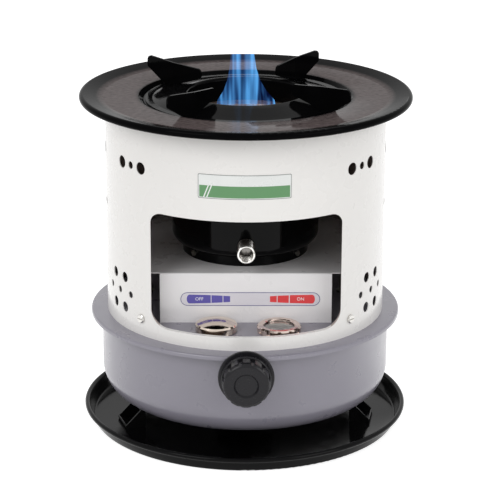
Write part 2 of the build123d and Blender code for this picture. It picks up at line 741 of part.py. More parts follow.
def make_cap_gasket():
    """Flat gasket under the cap."""
    gasket = ring(GASKET_HOLE, NECK_TUBE_RADIUS, GASKET_BOTTOM, GASKET_TOP)
    return Pos(FILLER_X, FILLER_Y, 0) * gasket


def make_fuel_cap():
    """Pressed screw cap: domed top, outer skirt and threaded inner sleeve."""
    bottom = PLATEAU_TOP + CAP_LIFT
    shoulder = bottom + CAP_SKIRT_HEIGHT
    rim = shoulder + CAP_EDGE + 0.3
    sleeve = NECK_TUBE_RADIUS + THREAD_GAP
    flat = CAP_RADIUS - CAP_EDGE
    outside = Polyline(
        (0, GASKET_TOP),
        (sleeve, GASKET_TOP),
        (sleeve, bottom + 0.6),
        (sleeve + CAP_SHEET, bottom + 0.6),
        (sleeve + CAP_SHEET, shoulder - 0.6),
        (CAP_RADIUS - CAP_SHEET, shoulder - 0.6),
        (CAP_RADIUS - CAP_SHEET, bottom),
        (CAP_RADIUS, bottom),
        (CAP_RADIUS, shoulder),
        (flat, rim),
    )
    dome = dome_arc(flat, rim, CAP_DOME)
    axis_line = Line((0, rim + CAP_DOME), (0, GASKET_TOP))
    cap = turned(make_face(outside.edges() + [dome, axis_line]))
    return Pos(FILLER_X, FILLER_Y, 0) * cap


def make_gauge_bezel():
    """Notched bezel ring with an inner ledge for the lens."""
    bottom = PLATEAU_TOP
    top = bottom + BEZEL_HEIGHT
    flange_top = bottom + GAUGE_CUP_SHEET
    flange_edge = GAUGE_CUP_RADIUS + GAUGE_FLANGE + NEST
    lens_bottom = bottom + LENS_HEIGHT
    ledge = BEZEL_OPENING - BEZEL_LEDGE
    points = [
        (flange_edge, bottom),
        (BEZEL_RADIUS, bottom),
        (BEZEL_RADIUS, top - 1.6),
        (BEZEL_RADIUS - 1.8, top),
        (BEZEL_OPENING + 0.8, top),
        (BEZEL_OPENING, top - 0.8),
        (BEZEL_OPENING, lens_bottom),
        (ledge, lens_bottom),
        (ledge, lens_bottom - 1.2),
        (BEZEL_OPENING + 0.6, flange_top),
        (flange_edge, flange_top),
    ]
    bezel = turned(make_face(Polyline(*points, close=True)))
    tools = []
    for index in range(BEZEL_NOTCHES):
        notch = Pos(BEZEL_RADIUS + 1.1, 0, 0) * disc(BEZEL_NOTCH_RADIUS, bottom + 1.4, top + 1)
        tools.append(radial(notch, index * 360 / BEZEL_NOTCHES))
    return Pos(GAUGE_X, GAUGE_Y, 0) * bezel.cut(*tools)


def make_gauge_lens():
    """Clear lens on the bezel's ledge."""
    bottom = PLATEAU_TOP + LENS_HEIGHT
    return Pos(GAUGE_X, GAUGE_Y, 0) * disc(BEZEL_OPENING - RUNNING, bottom, bottom + LENS_THICKNESS)


def make_gauge_housing():
    """Gauge cup with two guide rods and a lower bridge for the spindle."""
    inner = GAUGE_CUP_RADIUS - GAUGE_CUP_SHEET
    floor = CUP_BOTTOM + GAUGE_CUP_SHEET
    flange_top = PLATEAU_TOP + GAUGE_CUP_SHEET
    points = [
        (GAUGE_CUP_RADIUS + GAUGE_FLANGE, flange_top),
        (inner, flange_top),
        (inner, floor),
        (SPINDLE_PIN_RADIUS + RUNNING, floor),
    ]
    pieces = [turned(sheet_section(points, GAUGE_CUP_SHEET, [0.3, 0.8]))]
    bridge_bottom = SPINDLE_BOTTOM - 3
    for side in (-1, 1):
        rod_piece = disc(GUIDE_ROD_RADIUS, bridge_bottom, CUP_BOTTOM + GAUGE_CUP_SHEET / 2)
        pieces.append(Pos(side * GUIDE_ROD_SPACING, 0, 0) * rod_piece)
    reach = GUIDE_ROD_SPACING + 2.2
    bridge = block((-reach, reach), (-2.5, 2.5), (bridge_bottom, bridge_bottom + 1.4))
    bridge -= disc(SPINDLE_PIN_RADIUS + RUNNING, bridge_bottom - 1, bridge_bottom + 3)
    pieces.append(bridge)
    return Pos(GAUGE_X, GAUGE_Y, 0) * merged(pieces)


def make_gauge_disc():
    """Indicator disc at the top of the spindle."""
    bottom = CUP_BOTTOM + GAUGE_CUP_SHEET + 2.6
    plate = disc(GAUGE_DISC_RADIUS, bottom, bottom + GAUGE_DISC_THICKNESS)
    hub = disc(3.0, bottom - 2.0, bottom + GAUGE_DISC_THICKNESS)
    bore = disc(SPINDLE_PIN_RADIUS, bottom - 3, bottom)
    return Pos(GAUGE_X, GAUGE_Y, 0) * (plate + hub - bore)


def spindle_angle(height):
    """Twist of the spindle's strip at a height."""
    return GAUGE_TURN * (height - SPINDLE_BOTTOM) / FLOAT_TRAVEL


def make_gauge_spindle():
    """Twisted strip that the float turns, with a bearing pin at each end."""
    strip_top = CUP_BOTTOM - 2.5
    pin_top = CUP_BOTTOM + GAUGE_CUP_SHEET + 2.6
    faces = []
    for index in range(SPINDLE_STEPS + 1):
        height = SPINDLE_BOTTOM + (strip_top - SPINDLE_BOTTOM) * index / SPINDLE_STEPS
        outline = Rectangle(SPINDLE_WIDTH, SPINDLE_THICKNESS)
        faces.append(Pos(0, 0, height) * Rot(0, 0, spindle_angle(height)) * outline)
    strip = loft(faces, ruled=True)
    upper = disc(SPINDLE_PIN_RADIUS, strip_top - 1, pin_top)
    lower = disc(SPINDLE_PIN_RADIUS, SPINDLE_BOTTOM - 3, SPINDLE_BOTTOM + 1)
    return Pos(GAUGE_X, GAUGE_Y, 0) * merged([strip, upper, lower])


def make_fuel_float():
    """Float on two guide rods, with a slotted plate that follows the twisted strip."""
    body = disc(FLOAT_RADIUS, FLOAT_BOTTOM, FLOAT_TOP)
    bore = disc(FLOAT_BORE, FLOAT_BOTTOM - 1, FLOAT_TOP - FLOAT_PLATE)
    angle = spindle_angle(FLOAT_TOP - FLOAT_PLATE / 2)
    slot = extrude(
        Rectangle(SPINDLE_WIDTH + 2 * FLOAT_CLEARANCE, SPINDLE_THICKNESS + 2 * FLOAT_CLEARANCE),
        4,
    )
    slot = Pos(0, 0, FLOAT_TOP - FLOAT_PLATE - 1) * Rot(0, 0, angle) * slot
    tools = [bore, slot]
    for side in (-1, 1):
        guide = disc(GUIDE_ROD_RADIUS + NEST, FLOAT_BOTTOM - 1, FLOAT_TOP + 1)
        tools.append(Pos(side * GUIDE_ROD_SPACING, 0, 0) * guide)
    return Pos(GAUGE_X, GAUGE_Y, 0) * body.cut(*tools)


def make_deck():
    """Deck plate round the burner with the front panel folded down from it."""
    under = DECK_TOP - DECK_SHEET
    plate = disc(DECK_RADIUS, under, DECK_TOP)
    front = -DECK_FRONT + DECK_SETBACK
    beyond = DECK_RADIUS + 1
    plate -= block((-beyond, beyond), (-beyond, front), (under - 1, DECK_TOP + 1))
    points = [(front + 0.5, DECK_TOP), (-DECK_FRONT, DECK_TOP), (-DECK_FRONT, PLATEAU_TOP)]
    section = Plane.YZ * sheet_section(points, DECK_SHEET, [PANEL_BEND - DECK_SHEET])
    panel = Pos(-PANEL_HALF_WIDTH, 0, 0) * extrude(section, 2 * PANEL_HALF_WIDTH)
    return (plate + panel) - disc(DECK_HOLE, under - 1, DECK_TOP + 1)


def make_deck_post(place):
    """Post that carries the deck above the tank."""
    post = disc(POST_RADIUS, PLATEAU_TOP, DECK_TOP - DECK_SHEET)
    foot = disc(POST_FOOT_RADIUS, PLATEAU_TOP, PLATEAU_TOP + POST_FOOT_THICKNESS)
    return Pos(place[0], place[1], 0) * (post + foot)


def make_burner_seat_ring():
    """Air-holed ring on the deck, with an upturned edge that carries the burner."""
    points = [
        (NECK_RADIUS + 0.7, DECK_TOP),
        (SEAT_RADIUS, DECK_TOP),
        (SEAT_RADIUS, BASE_UNDER),
    ]
    seat = turned(sheet_section(points, SEAT_SHEET, [0.8]))
    tools = []
    for index in range(SEAT_HOLES):
        hole = Pos(43, 0, 0) * disc(SEAT_HOLE_RADIUS, DECK_TOP - 1, DECK_TOP + 2)
        tools.append(radial(hole, index * 360 / SEAT_HOLES))
    return seat.cut(*tools)


def make_burner_base_plate():
    """Base plate of the burner with a screw flange and a collar for the outer flame tube."""
    flange = SKIRT_RADIUS - BURNER_SHEET - SKIRT_GAP
    collar = OUTER_FLAME_RADIUS + RUNNING + BURNER_SHEET
    points = [
        (flange, BASE_PLATE_TOP - BASE_PLATE_FLANGE),
        (flange, BASE_PLATE_TOP),
        (collar, BASE_PLATE_TOP),
        (collar, BASE_PLATE_TOP + BASE_PLATE_COLLAR),
    ]
    plate = turned(sheet_section(points, BURNER_SHEET, [0.4, 0.6]))
    tools = []
    for index in range(BASE_PLATE_HOLES):
        hole = Pos(BASE_HOLE_CIRCLE, 0, 0) * disc(SEAT_HOLE_RADIUS, BASE_UNDER - 1, BASE_PLATE_TOP + 1)
        tools.append(radial(hole, (index + 0.5) * 360 / BASE_PLATE_HOLES))
    for azimuth in DRUM_SCREW_AZIMUTHS:
        tools.append(radial_rod(DRUM_SCREW_RADIUS + RUNNING, SKIRT_RADIUS - 3, SKIRT_RADIUS + 1,
                                DRUM_SCREW_HEIGHT, azimuth))
    return plate.cut(*tools)


def make_burner_drum():
    """Burner drum: skirt, round shoulder, straight wall and a narrower neck."""
    points = [
        (SKIRT_RADIUS, DECK_TOP + SKIRT_GAP),
        (SKIRT_RADIUS, DECK_TOP + SKIRT_HEIGHT),
        (DRUM_RADIUS, DECK_TOP + SKIRT_HEIGHT + DRUM_FLARE),
        (DRUM_RADIUS, DRUM_SHOULDER),
        (DRUM_NECK_RADIUS, DRUM_NECK_BOTTOM),
        (DRUM_NECK_RADIUS, DRUM_TOP),
    ]
    drum = turned(sheet_section(points, BURNER_SHEET, [1.2, 9.8, 12.0, 4.0]))
    tools = [rod(STUD_RADIUS + RUNNING, -DRUM_RADIUS - 5, -DRUM_RADIUS + 10, HANDLE_HEIGHT)]
    for azimuth in DRUM_SCREW_AZIMUTHS:
        tools.append(radial_rod(DRUM_SCREW_RADIUS + RUNNING, SKIRT_RADIUS - 3, SKIRT_RADIUS + 3,
                                DRUM_SCREW_HEIGHT, azimuth))
    return drum.cut(*tools)


def make_drum_screw(azimuth):
    """Screw through the drum's skirt into the base plate."""
    start = SEAT_RADIUS + 0.4
    end = SKIRT_RADIUS + DRUM_SCREW_HEAD
    shank = radial_rod(DRUM_SCREW_RADIUS, start, SKIRT_RADIUS + 0.5, DRUM_SCREW_HEIGHT, azimuth)
    head = radial_rod(DRUM_SCREW_HEAD_RADIUS, SKIRT_RADIUS, end, DRUM_SCREW_HEIGHT, azimuth)
    return shank + head


def make_flame_tube(radius, bottom, top, turn):
    """Perforated flame tube."""
    tube = ring(radius - BURNER_SHEET, radius, bottom, top)
    tools = [radial_rod(PIN_RADIUS + RUNNING, radius - 5, radius + 5, PIN_HEIGHT, a) for a in PIN_AZIMUTHS]
    for row in range(FLAME_ROWS):
        height = FLAME_ROW_START + row * FLAME_ROW_STEP
        for column in range(FLAME_COLUMNS):
            azimuth = turn + (column + 0.5 * (row % 2)) * 360 / FLAME_COLUMNS
            tools.append(radial_rod(FLAME_HOLE_RADIUS, radius - 5, radius + 5, height, azimuth))
    return tube.cut(*tools)


def make_flame_tube_pin(azimuth):
    """Cross pin that holds the two flame tubes together."""
    return radial_rod(PIN_RADIUS, INNER_FLAME_RADIUS - 2, OUTER_FLAME_RADIUS + 1.5, PIN_HEIGHT, azimuth)


def make_flame_spreader():
    """Domed spreader with a spigot in the inner flame tube."""
    top = INNER_FLAME_TOP + SPREADER_DOME
    spigot = INNER_FLAME_RADIUS - BURNER_SHEET - NEST
    outside = Polyline(
        (0, INNER_FLAME_TOP + 0.2),
        (spigot - 1, INNER_FLAME_TOP + 0.2),
        (spigot - 1, INNER_FLAME_TOP - SPREADER_SPIGOT),
        (spigot, INNER_FLAME_TOP - SPREADER_SPIGOT),
        (spigot, INNER_FLAME_TOP),
        (SPREADER_RADIUS, INNER_FLAME_TOP),
        (SPREADER_RADIUS, INNER_FLAME_TOP + 1.5),
    )
    dome = dome_arc(SPREADER_RADIUS, INNER_FLAME_TOP + 1.5, SPREADER_DOME - 1.5)
    axis_line = Line((0, top), (0, INNER_FLAME_TOP + 0.2))
    return turned(make_face(outside.edges() + [dome, axis_line]))


def make_burner_cone():
    """Flared ring that closes the drum from the outer flame tube to the neck."""
    collar = OUTER_FLAME_RADIUS + RUNNING + BURNER_SHEET
    lip = DRUM_NECK_INNER - RUNNING
    points = [
        (collar, CONE_BOTTOM),
        (collar, CONE_FLARE_START),
        (lip, CONE_FLARE_END),
        (lip, CONE_TOP),
    ]
    return turned(sheet_section(points, BURNER_SHEET, [3.0, 1.5]))


def make_handle_stud():
    """Screw, boss and nut that hold the spring handle on the drum."""
    boss_radius = SPRING_CENTRE_RADIUS - SPRING_WIRE / 2 - RUNNING
    wall = DRUM_RADIUS
    boss = rod(boss_radius, -wall - BOSS_LENGTH, -wall + 2, HANDLE_HEIGHT)
    boss -= disc(wall + RUNNING, HANDLE_HEIGHT - 20, HANDLE_HEIGHT + 20)
    shank = rod(STUD_RADIUS, -wall - STUD_LENGTH, -wall + 4.5, HANDLE_HEIGHT)
    head_front = -wall - STUD_LENGTH - STUD_HEAD
    head = rod(STUD_HEAD_RADIUS, head_front, -wall - STUD_LENGTH, HANDLE_HEIGHT)
    nut = rod(STUD_NUT_RADIUS, -wall, -wall + 4.5, HANDLE_HEIGHT)
    nut &= disc(DRUM_INNER - 2 * RUNNING, HANDLE_HEIGHT - 20, HANDLE_HEIGHT + 20)
    slot = block(
        (-0.6, 0.6),
        (head_front - 1, head_front + 1.0),
        (HANDLE_HEIGHT - 6, HANDLE_HEIGHT + 6),
    )
    return merged([boss, shank, head, nut]) - slot


def helix_point(turn):
    """Centre of the handle's wire after a number of turns."""
    angle = 2 * pi * turn
    start = DRUM_RADIUS + SPRING_WIRE / 2 + 0.2
    x = SPRING_CENTRE_RADIUS * cos(angle)
    z = HANDLE_HEIGHT + SPRING_CENTRE_RADIUS * sin(angle)
    return Vector(x, -start - SPRING_PITCH * turn, z)


def helix_tangent(turn):
    """Direction of the handle's wire after a number of turns."""
    angle = 2 * pi * turn
    sweep_rate = 2 * pi * SPRING_CENTRE_RADIUS
    return Vector(-sweep_rate * sin(angle), -SPRING_PITCH, sweep_rate * cos(angle)).normalized()


def biarc(start, start_tangent, end, end_tangent):
    """Two arcs, tangent to each other, between two points with given tangents."""
    span = end - start
    both = start_tangent + end_tangent
    spread = 2 * (1 - start_tangent.dot(end_tangent))
    reach = (sqrt(span.dot(both) ** 2 + spread * span.dot(span)) - span.dot(both)) / spread
    first = start + start_tangent * reach
    second = end - end_tangent * reach
    middle = (first + second) * 0.5
    return [
        TangentArc(start, middle, tangent=start_tangent),
        TangentArc(middle, end, tangent=second - first),
    ]


def make_handle_spring():
    """Coil-spring handle: one wire on arcs, with a straight end of one wire width each."""
    steps = SPRING_TURNS * SPRING_STEPS_PER_TURN
    turns = [index / SPRING_STEPS_PER_TURN for index in range(steps + 1)]
    first = helix_point(0)
    lead = first - helix_tangent(0) * SPRING_WIRE
    edges = [Line(lead, first)]
    for before, after in zip(turns, turns[1:]):
        edges += biarc(helix_point(before), helix_tangent(before), helix_point(after), helix_tangent(after))
    last = helix_point(turns[-1])
    edges.append(Line(last, last + helix_tangent(turns[-1]) * SPRING_WIRE))
    path = Wire([edge.edges()[0] for edge in edges])
    section = Plane(origin=lead, z_dir=helix_tangent(0)) * Circle(SPRING_WIRE / 2)
    samples = []
    for edge in edges:
        samples += [edge @ (step / 8) for step in range(8)]
    samples.append(edges[-1] @ 1)
    per_turn = 8 * 2 * SPRING_STEPS_PER_TURN
    least = min(
        (samples[i] - samples[j]).length
        for i in range(len(samples))
        for j in range(i + per_turn // 2, len(samples))
    )
    print(f"handle spring: least gap to itself {least - SPRING_WIRE:.2f} mm")
    return sweep(section, path=path)


def grip_cylinder(radius):
    """A tilted cylinder that presses the finger grip into the wall, for azimuth 0."""
    slope = hypot(GRIP_DEPTH, GRIP_TOP - GRIP_BOTTOM)
    inward = GRIP_DEPTH / slope
    downward = (GRIP_TOP - GRIP_BOTTOM) / slope
    x = CASING_RADIUS - GRIP_DEPTH + GRIP_ROLL * downward
    z = GRIP_BOTTOM - GRIP_ROLL * inward
    return Plane(origin=(x, 0, z), z_dir=(inward, 0, downward)) * Cylinder(radius, 240)


def casing_holes():
    """Every ventilation and screw hole of the casing, as tools."""
    inside = CASING_RADIUS - 8
    outside = CASING_RADIUS + 5
    tools = []
    for index in range(UPPER_GROUPS):
        centre = UPPER_FIRST + index * (UPPER_LAST - UPPER_FIRST) / (UPPER_GROUPS - 1)
        for offset in (-1, 0, 1):
            radius = UPPER_HOLE_RADIUS if offset else UPPER_SMALL_RADIUS
            azimuth = centre + offset * UPPER_HOLE_STEP
            tools.append(radial_rod(radius, inside, outside, UPPER_HOLE_HEIGHT, azimuth))
    for centre in LOWER_GROUPS:
        for row in (-1, 1):
            height = LOWER_ROW_HEIGHT + row * LOWER_ROW_STEP
            for side in (-1, 1):
                azimuth = centre + side * LOWER_HOLE_STEP
                tools.append(radial_rod(LOWER_HOLE_RADIUS, inside, outside, height, azimuth))
        for side in (-2, 0, 2):
            azimuth = centre + side * LOWER_HOLE_STEP
            tools.append(radial_rod(LOWER_SMALL_RADIUS, inside, outside, LOWER_ROW_HEIGHT, azimuth))
    for azimuth in CASING_SCREW_AZIMUTHS:
        tools.append(radial_rod(CASING_SCREW_RADIUS + 0.2, inside, outside, CASING_SCREW_HEIGHT, azimuth))
    return tools


def window_outline(grow):
    """The window's clear outline, grown by an amount on every side."""
    left = -WINDOW_HALF_WIDTH - grow
    right = WINDOW_HALF_WIDTH + grow
    bottom = WINDOW_BOTTOM - grow
    top = WINDOW_TOP + grow
    low = WINDOW_BOTTOM_CORNER + grow
    high = WINDOW_TOP_CORNER + grow
    points = [(right, bottom), (right, top), (left, top), (left, bottom)]
    return fillet_closed(points, [low, high, high, low])


def window_block(grow):
    """The window's outline as a block through the front wall."""
    return extrude(Plane.XZ * window_outline(grow), CASING_RADIUS + 1)


def make_outer_casing():
    """Casing wall with window, rolled lip, ventilation holes and finger grips."""
    points = [
        (CASING_RADIUS, SEAM_TOP),
        (CASING_RADIUS, PLATE_UNDER),
        (CASING_RADIUS - CASING_TOP_FLANGE, PLATE_UNDER),
    ]
    casing = turned(sheet_section(points, CASING_SHEET, [1.0]))
    band_bottom = WINDOW_BOTTOM - 5
    band_top = WINDOW_TOP + 5
    lip_band = ring(CASING_RADIUS - WINDOW_LIP, CASING_RADIUS, band_bottom, band_top)
    roll_band = ring(CASING_RADIUS - WINDOW_ROLL - 0.4, CASING_RADIUS, band_bottom, band_top)
    lip = window_block(CASING_SHEET) & lip_band
    roll = window_block(WINDOW_ROLL + 0.3) & roll_band
    casing = casing.fuse(lip, roll).cut(window_block(0))
    clear = GRIP_ROLL + CASING_SHEET
    zone = block((CASING_RADIUS - 30, CASING_RADIUS + 10), (-60, 60), (GRIP_BOTTOM, GRIP_TOP + 8))
    pocket = grip_cylinder(clear) & zone
    scoop = (pocket - grip_cylinder(GRIP_ROLL)) & disc(CASING_RADIUS, GRIP_BOTTOM, GRIP_TOP + 8)
    casing = casing.cut(*[radial(pocket, azimuth) for azimuth in GRIP_AZIMUTHS])
    casing = casing.fuse(*[radial(scoop, azimuth) for azimuth in GRIP_AZIMUTHS])
    return casing.cut(*casing_holes())


def make_casing_bracket(azimuth):
    """Angle bracket on the plateau that the casing screws into."""
    face = CASING_RADIUS - CASING_SHEET - BRACKET_GAP
    points = [
        (face - BRACKET_FOOT, PLATEAU_TOP),
        (face, PLATEAU_TOP),
        (face, PLATEAU_TOP + 15),
    ]
    strip = Plane.XZ * sheet_section(points, BRACKET_SHEET, [0.8])
    body = Pos(0, BRACKET_WIDTH / 2, 0) * extrude(strip, BRACKET_WIDTH)
    body += radial_rod(BRACKET_BOSS, face - 4.5, face - BRACKET_SHEET / 2, CASING_SCREW_HEIGHT, 0)
    body -= radial_rod(CASING_SCREW_RADIUS + RUNNING, face - 6, face + 1, CASING_SCREW_HEIGHT, 0)
    return radial(body, azimuth)


def make_casing_screw(azimuth):
    """Pan-head screw through the casing into its bracket."""
    end = CASING_RADIUS + CASING_SCREW_HEAD
    start = CASING_RADIUS - CASING_SCREW_LENGTH
    head = radial_rod(CASING_SCREW_HEAD_RADIUS, CASING_RADIUS, end, CASING_SCREW_HEIGHT, 0)
    head = chamfer(head.edges().group_by(Axis.X)[-1], 0.9)
    slot = block(
        (end - 1.0, end + 1),
        (-5, 5),
        (CASING_SCREW_HEIGHT - 0.6, CASING_SCREW_HEIGHT + 0.6),
    )
    shank = radial_rod(CASING_SCREW_RADIUS, start, CASING_RADIUS + 0.5, CASING_SCREW_HEIGHT, 0)
    return radial((head - slot) + shank, azimuth)


def make_top_plate():
    """Top plate: rolled rim, dished band, inner ledge and a locating rib below."""
    bead_radius = PLATE_RADIUS - RIM_BEAD
    bead_height = PLATE_TOP + RIM_RISE - RIM_BEAD
    lean = radians(RIM_SLOPE)
    start = (bead_radius - RIM_BEAD * sin(lean), bead_height + RIM_BEAD * cos(lean))
    dish = start[0] - (start[1] - PLATE_TOP) / tan(lean)
    points = [
        start,
        (dish, PLATE_TOP),
        (STEP_RADIUS, PLATE_TOP),
        (STEP_RADIUS - STEP_RUN, LEDGE_TOP),
        (LEDGE_INNER, LEDGE_TOP),
        (PLATE_HOLE, LEDGE_TOP - 2.4),
    ]
    section = sheet_section(points, PLATE_SHEET, [6.0, 1.5, 1.0, 1.0])
    section += Pos(bead_radius, bead_height) * Circle(RIM_BEAD)
    lift = max(0, RIB_RADIUS - dish) * tan(lean)
    rib_top = PLATE_UNDER + lift + PLATE_SHEET / 2
    rib_height = RIB_DEPTH + lift + PLATE_SHEET / 2
    section += Pos(RIB_RADIUS, rib_top - rib_height / 2) * Rectangle(PLATE_SHEET, rib_height)
    return turned(section)


def make_pot_ring():
    """Raised hub that sits on the top plate's ledge, with a collar round the flame."""
    points = [
        (HUB_OUTER, HUB_FLAT),
        (HUB_SLOPE_START, HUB_FLAT),
        (HUB_HOLE, HUB_PEAK),
        (HUB_HOLE, HUB_PEAK - HUB_COLLAR),
    ]
    return turned(sheet_section(points, HUB_SHEET, [3.0, HUB_LIP_BEND]))


def make_pot_support(azimuth, hub):
    """Folded sheet support with a rounded nose, seated on the hub."""
    points = [
        (SUPPORT_FOOT_INNER, HUB_FLAT + 0.6),
        (SUPPORT_THROAT, SUPPORT_THROAT_HEIGHT),
        (SUPPORT_NOSE, SUPPORT_NOSE_BOTTOM),
        (SUPPORT_NOSE, SUPPORT_NOSE_TOP),
        (SUPPORT_TIP, SUPPORT_TIP_TOP),
        (SUPPORT_TIP, SUPPORT_TIP_BOTTOM),
        (SUPPORT_FOOT_OUTER, HUB_FLAT),
        (HUB_SLOPE_START, HUB_FLAT),
    ]
    profile = Plane.XZ * fillet_closed(points, [3.0, 8.0, 4.0, 4.5, 5.0, 2.5, 1.0, 0])
    slab = Pos(0, 20, 0) * extrude(profile, 40)
    half = SUPPORT_SHEET / 2
    reach = SUPPORT_TIP - SUPPORT_FOLD_RADIUS + 10
    side = reach * tan(radians(SUPPORT_FOLD))
    plan_points = [
        (SUPPORT_NOSE - 10, -half),
        (SUPPORT_FOLD_RADIUS, -half),
        (SUPPORT_FOLD_RADIUS + reach, side - half),
    ]
    plan = sheet_section(plan_points, SUPPORT_SHEET, [SUPPORT_FOLD_BEND])
    strip = Pos(0, 0, HUB_FLAT - 2) * extrude(plan, 40)
    return radial(slab & strip, azimuth) - hub


def main():
    """Write every node."""
    os.makedirs("parts", exist_ok=True)
    save("drip_tray", [make_drip_tray()])
    save("tank_legs", [make_leg(azimuth) for azimuth in LEG_AZIMUTHS])
    save("tank_bowl", [make_tank_bowl()])
    save("tank_top", [make_tank_top()])
    save("filler_neck", [make_filler_neck()])
    save("filler_strainer", [make_filler_strainer()])
    save("fuel_cap", [make_fuel_cap()])
    save("cap_gasket", [make_cap_gasket()])
    save("gauge_bezel", [make_gauge_bezel()])
    save("gauge_lens", [make_gauge_lens()])
    save("gauge_housing", [make_gauge_housing()])
    save("gauge_disc", [make_gauge_disc()])
    save("gauge_spindle", [make_gauge_spindle()])
    save("fuel_float", [make_fuel_float()])
    save("wick_inner_tube", [make_wick_inner_tube()])
    save("wick_outer_tube", [make_wick_outer_tube()])
    save("wick_tube_nuts", make_wick_tube_nuts())
    save("wick_carrier", [make_wick_carrier()])
    save("wick", [make_wick()])
    save("dial_shaft", [make_dial_shaft()])
    save("wick_pinion", [make_wick_pinion()])
    save("shaft_tube", [make_shaft_tube()])
    save("shaft_gland", [make_shaft_gland()])
    save("shaft_packing", [make_shaft_packing()])
    save("control_knob", [make_control_knob()])
    save("deck", [make_deck()])
    save("deck_posts", [make_deck_post(place) for place in POST_PLACES])
    save("burner_seat_ring", [make_burner_seat_ring()])
    save("burner_base_plate", [make_burner_base_plate()])
    save("burner_drum", [make_burner_drum()])
    save("drum_screws", [make_drum_screw(azimuth) for azimuth in DRUM_SCREW_AZIMUTHS])
    outer_bottom = OUTER_TUBE_TOP + FLAME_TUBE_GAP
    inner_bottom = AIR_TUBE_TOP + FLAME_TUBE_GAP
    save("outer_flame_tube", [make_flame_tube(OUTER_FLAME_RADIUS, outer_bottom, OUTER_FLAME_TOP, 0)])
    save("inner_flame_tube", [make_flame_tube(INNER_FLAME_RADIUS, inner_bottom, INNER_FLAME_TOP, 30)])
    save("flame_tube_pins", [make_flame_tube_pin(azimuth) for azimuth in PIN_AZIMUTHS])
    save("flame_spreader", [make_flame_spreader()])
    save("burner_cone", [make_burner_cone()])
    save("handle_stud", [make_handle_stud()])
    save("handle_spring", [make_handle_spring()])
    save("outer_casing", [make_outer_casing()])
    save("casing_brackets", [make_casing_bracket(azimuth) for azimuth in CASING_SCREW_AZIMUTHS])
    save("casing_screws", [make_casing_screw(azimuth) for azimuth in CASING_SCREW_AZIMUTHS])
    save("top_plate", [make_top_plate()])
    hub = make_pot_ring()
    save("pot_ring", [hub])
    for number, azimuth in enumerate(SUPPORT_AZIMUTHS, 1):
        save(f"pot_support_{number}", [make_pot_support(azimuth, hub)])


main()
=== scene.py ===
"""Kerosene stove: finishes, labels, flame, light and camera, laid out as an add-on.

Metres, +Z up, -Y to the front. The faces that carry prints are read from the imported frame.
"""

from math import cos, pi, radians, sin

import bmesh
import bpy
from bpy.props import FloatProperty, FloatVectorProperty, PointerProperty
from mathutils import Matrix, Vector


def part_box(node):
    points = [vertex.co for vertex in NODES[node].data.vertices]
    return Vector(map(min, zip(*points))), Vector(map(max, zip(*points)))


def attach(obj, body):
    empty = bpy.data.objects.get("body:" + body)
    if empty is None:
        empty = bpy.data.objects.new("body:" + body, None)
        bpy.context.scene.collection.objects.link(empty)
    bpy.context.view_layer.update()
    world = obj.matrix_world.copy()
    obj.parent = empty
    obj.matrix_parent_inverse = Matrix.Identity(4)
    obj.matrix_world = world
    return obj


bl_info = {
    "name": "Kerosene Stove",
    "version": (1, 0, 0),
    "blender": (4, 5, 0),
    "location": "View3D > Sidebar > Stove",
    "description": "Dresses the stove's pieces and sets its stage",
    "category": "Object",
}

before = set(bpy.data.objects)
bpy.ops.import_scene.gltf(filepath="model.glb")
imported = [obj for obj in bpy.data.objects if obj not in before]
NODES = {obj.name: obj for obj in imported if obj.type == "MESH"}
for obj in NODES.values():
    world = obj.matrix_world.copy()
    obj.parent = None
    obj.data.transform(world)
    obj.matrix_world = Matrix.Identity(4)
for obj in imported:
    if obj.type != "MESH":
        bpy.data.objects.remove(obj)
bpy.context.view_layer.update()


def linear(red, green, blue):
    """A colour written in screen values from 0 to 255, as linear light."""
    values = []
    for value in (red, green, blue):
        share = value / 255
        values.append(share / 12.92 if share <= 0.04045 else ((share + 0.055) / 1.055) ** 2.4)
    return tuple(values)


# Places read from the frame
CASING_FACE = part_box("outer_casing")[1].y
PANEL_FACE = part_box("deck")[0].y
DISC_LOW, DISC_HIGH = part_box("gauge_disc")
DISC_CENTRE = (DISC_LOW + DISC_HIGH) / 2

# The camera, fitted to the circles of the top plate, the casing, the tank's seam and the tray
CAMERA_PLACE = (-0.0180, -2.0693, 0.8532)
CAMERA_YAW = radians(0.630)
CAMERA_PITCH = radians(18.161)
CAMERA_ROLL = radians(0.271)
SENSOR_WIDTH = 36
VIEW_REACH = 100

# The floor lies this far below the tray, and is wide enough to fill the picture
FLOOR_REACH = 12.0
FLOOR_DROP = 0.0002

# The lamps face the stove's middle
LAMP_AIM = (0, 0, 0.18)
LAMP_SIZE = 1.1

# The colour mix node's sockets share their names with others, so they are taken by number
MIX_FIRST, MIX_SECOND, MIX_RESULT = 6, 7, 2

# A noise between these two values runs a finish from its low end to its high end
NOISE_LOW, NOISE_HIGH = 0.3, 0.7

# Below this, in metres, a casing face's normal points inward from its place
INWARD_LIMIT = -0.04

# Radius on the top plate, and the share of the painted reflection's brown-grey colour there
PAINTED_REFLECTION_RING = ((0.0, 0), (0.1085, 0), (0.1095, 1), (0.1440, 1), (0.1455, 0))

# Meshes are welded at this distance and keep edges crisp above this angle
WELD_DISTANCE = 0.000001
CRISP_ANGLE = radians(28)

# Prints: steps in a rounded end, the gap to the face below (also under the gauge's painted reflection), and a
# block's bulge over its half height
ARC_STEPS = 8
PRINT_AND_REFLECTION_GAP = 0.00002
BLOCK_BULGE = 0.6

# The gauge's red mark and its painted dark reflection lie between these shares of the disc's radius
MARK_AND_REFLECTION_INNER, MARK_AND_REFLECTION_OUTER = 0.6, 0.92

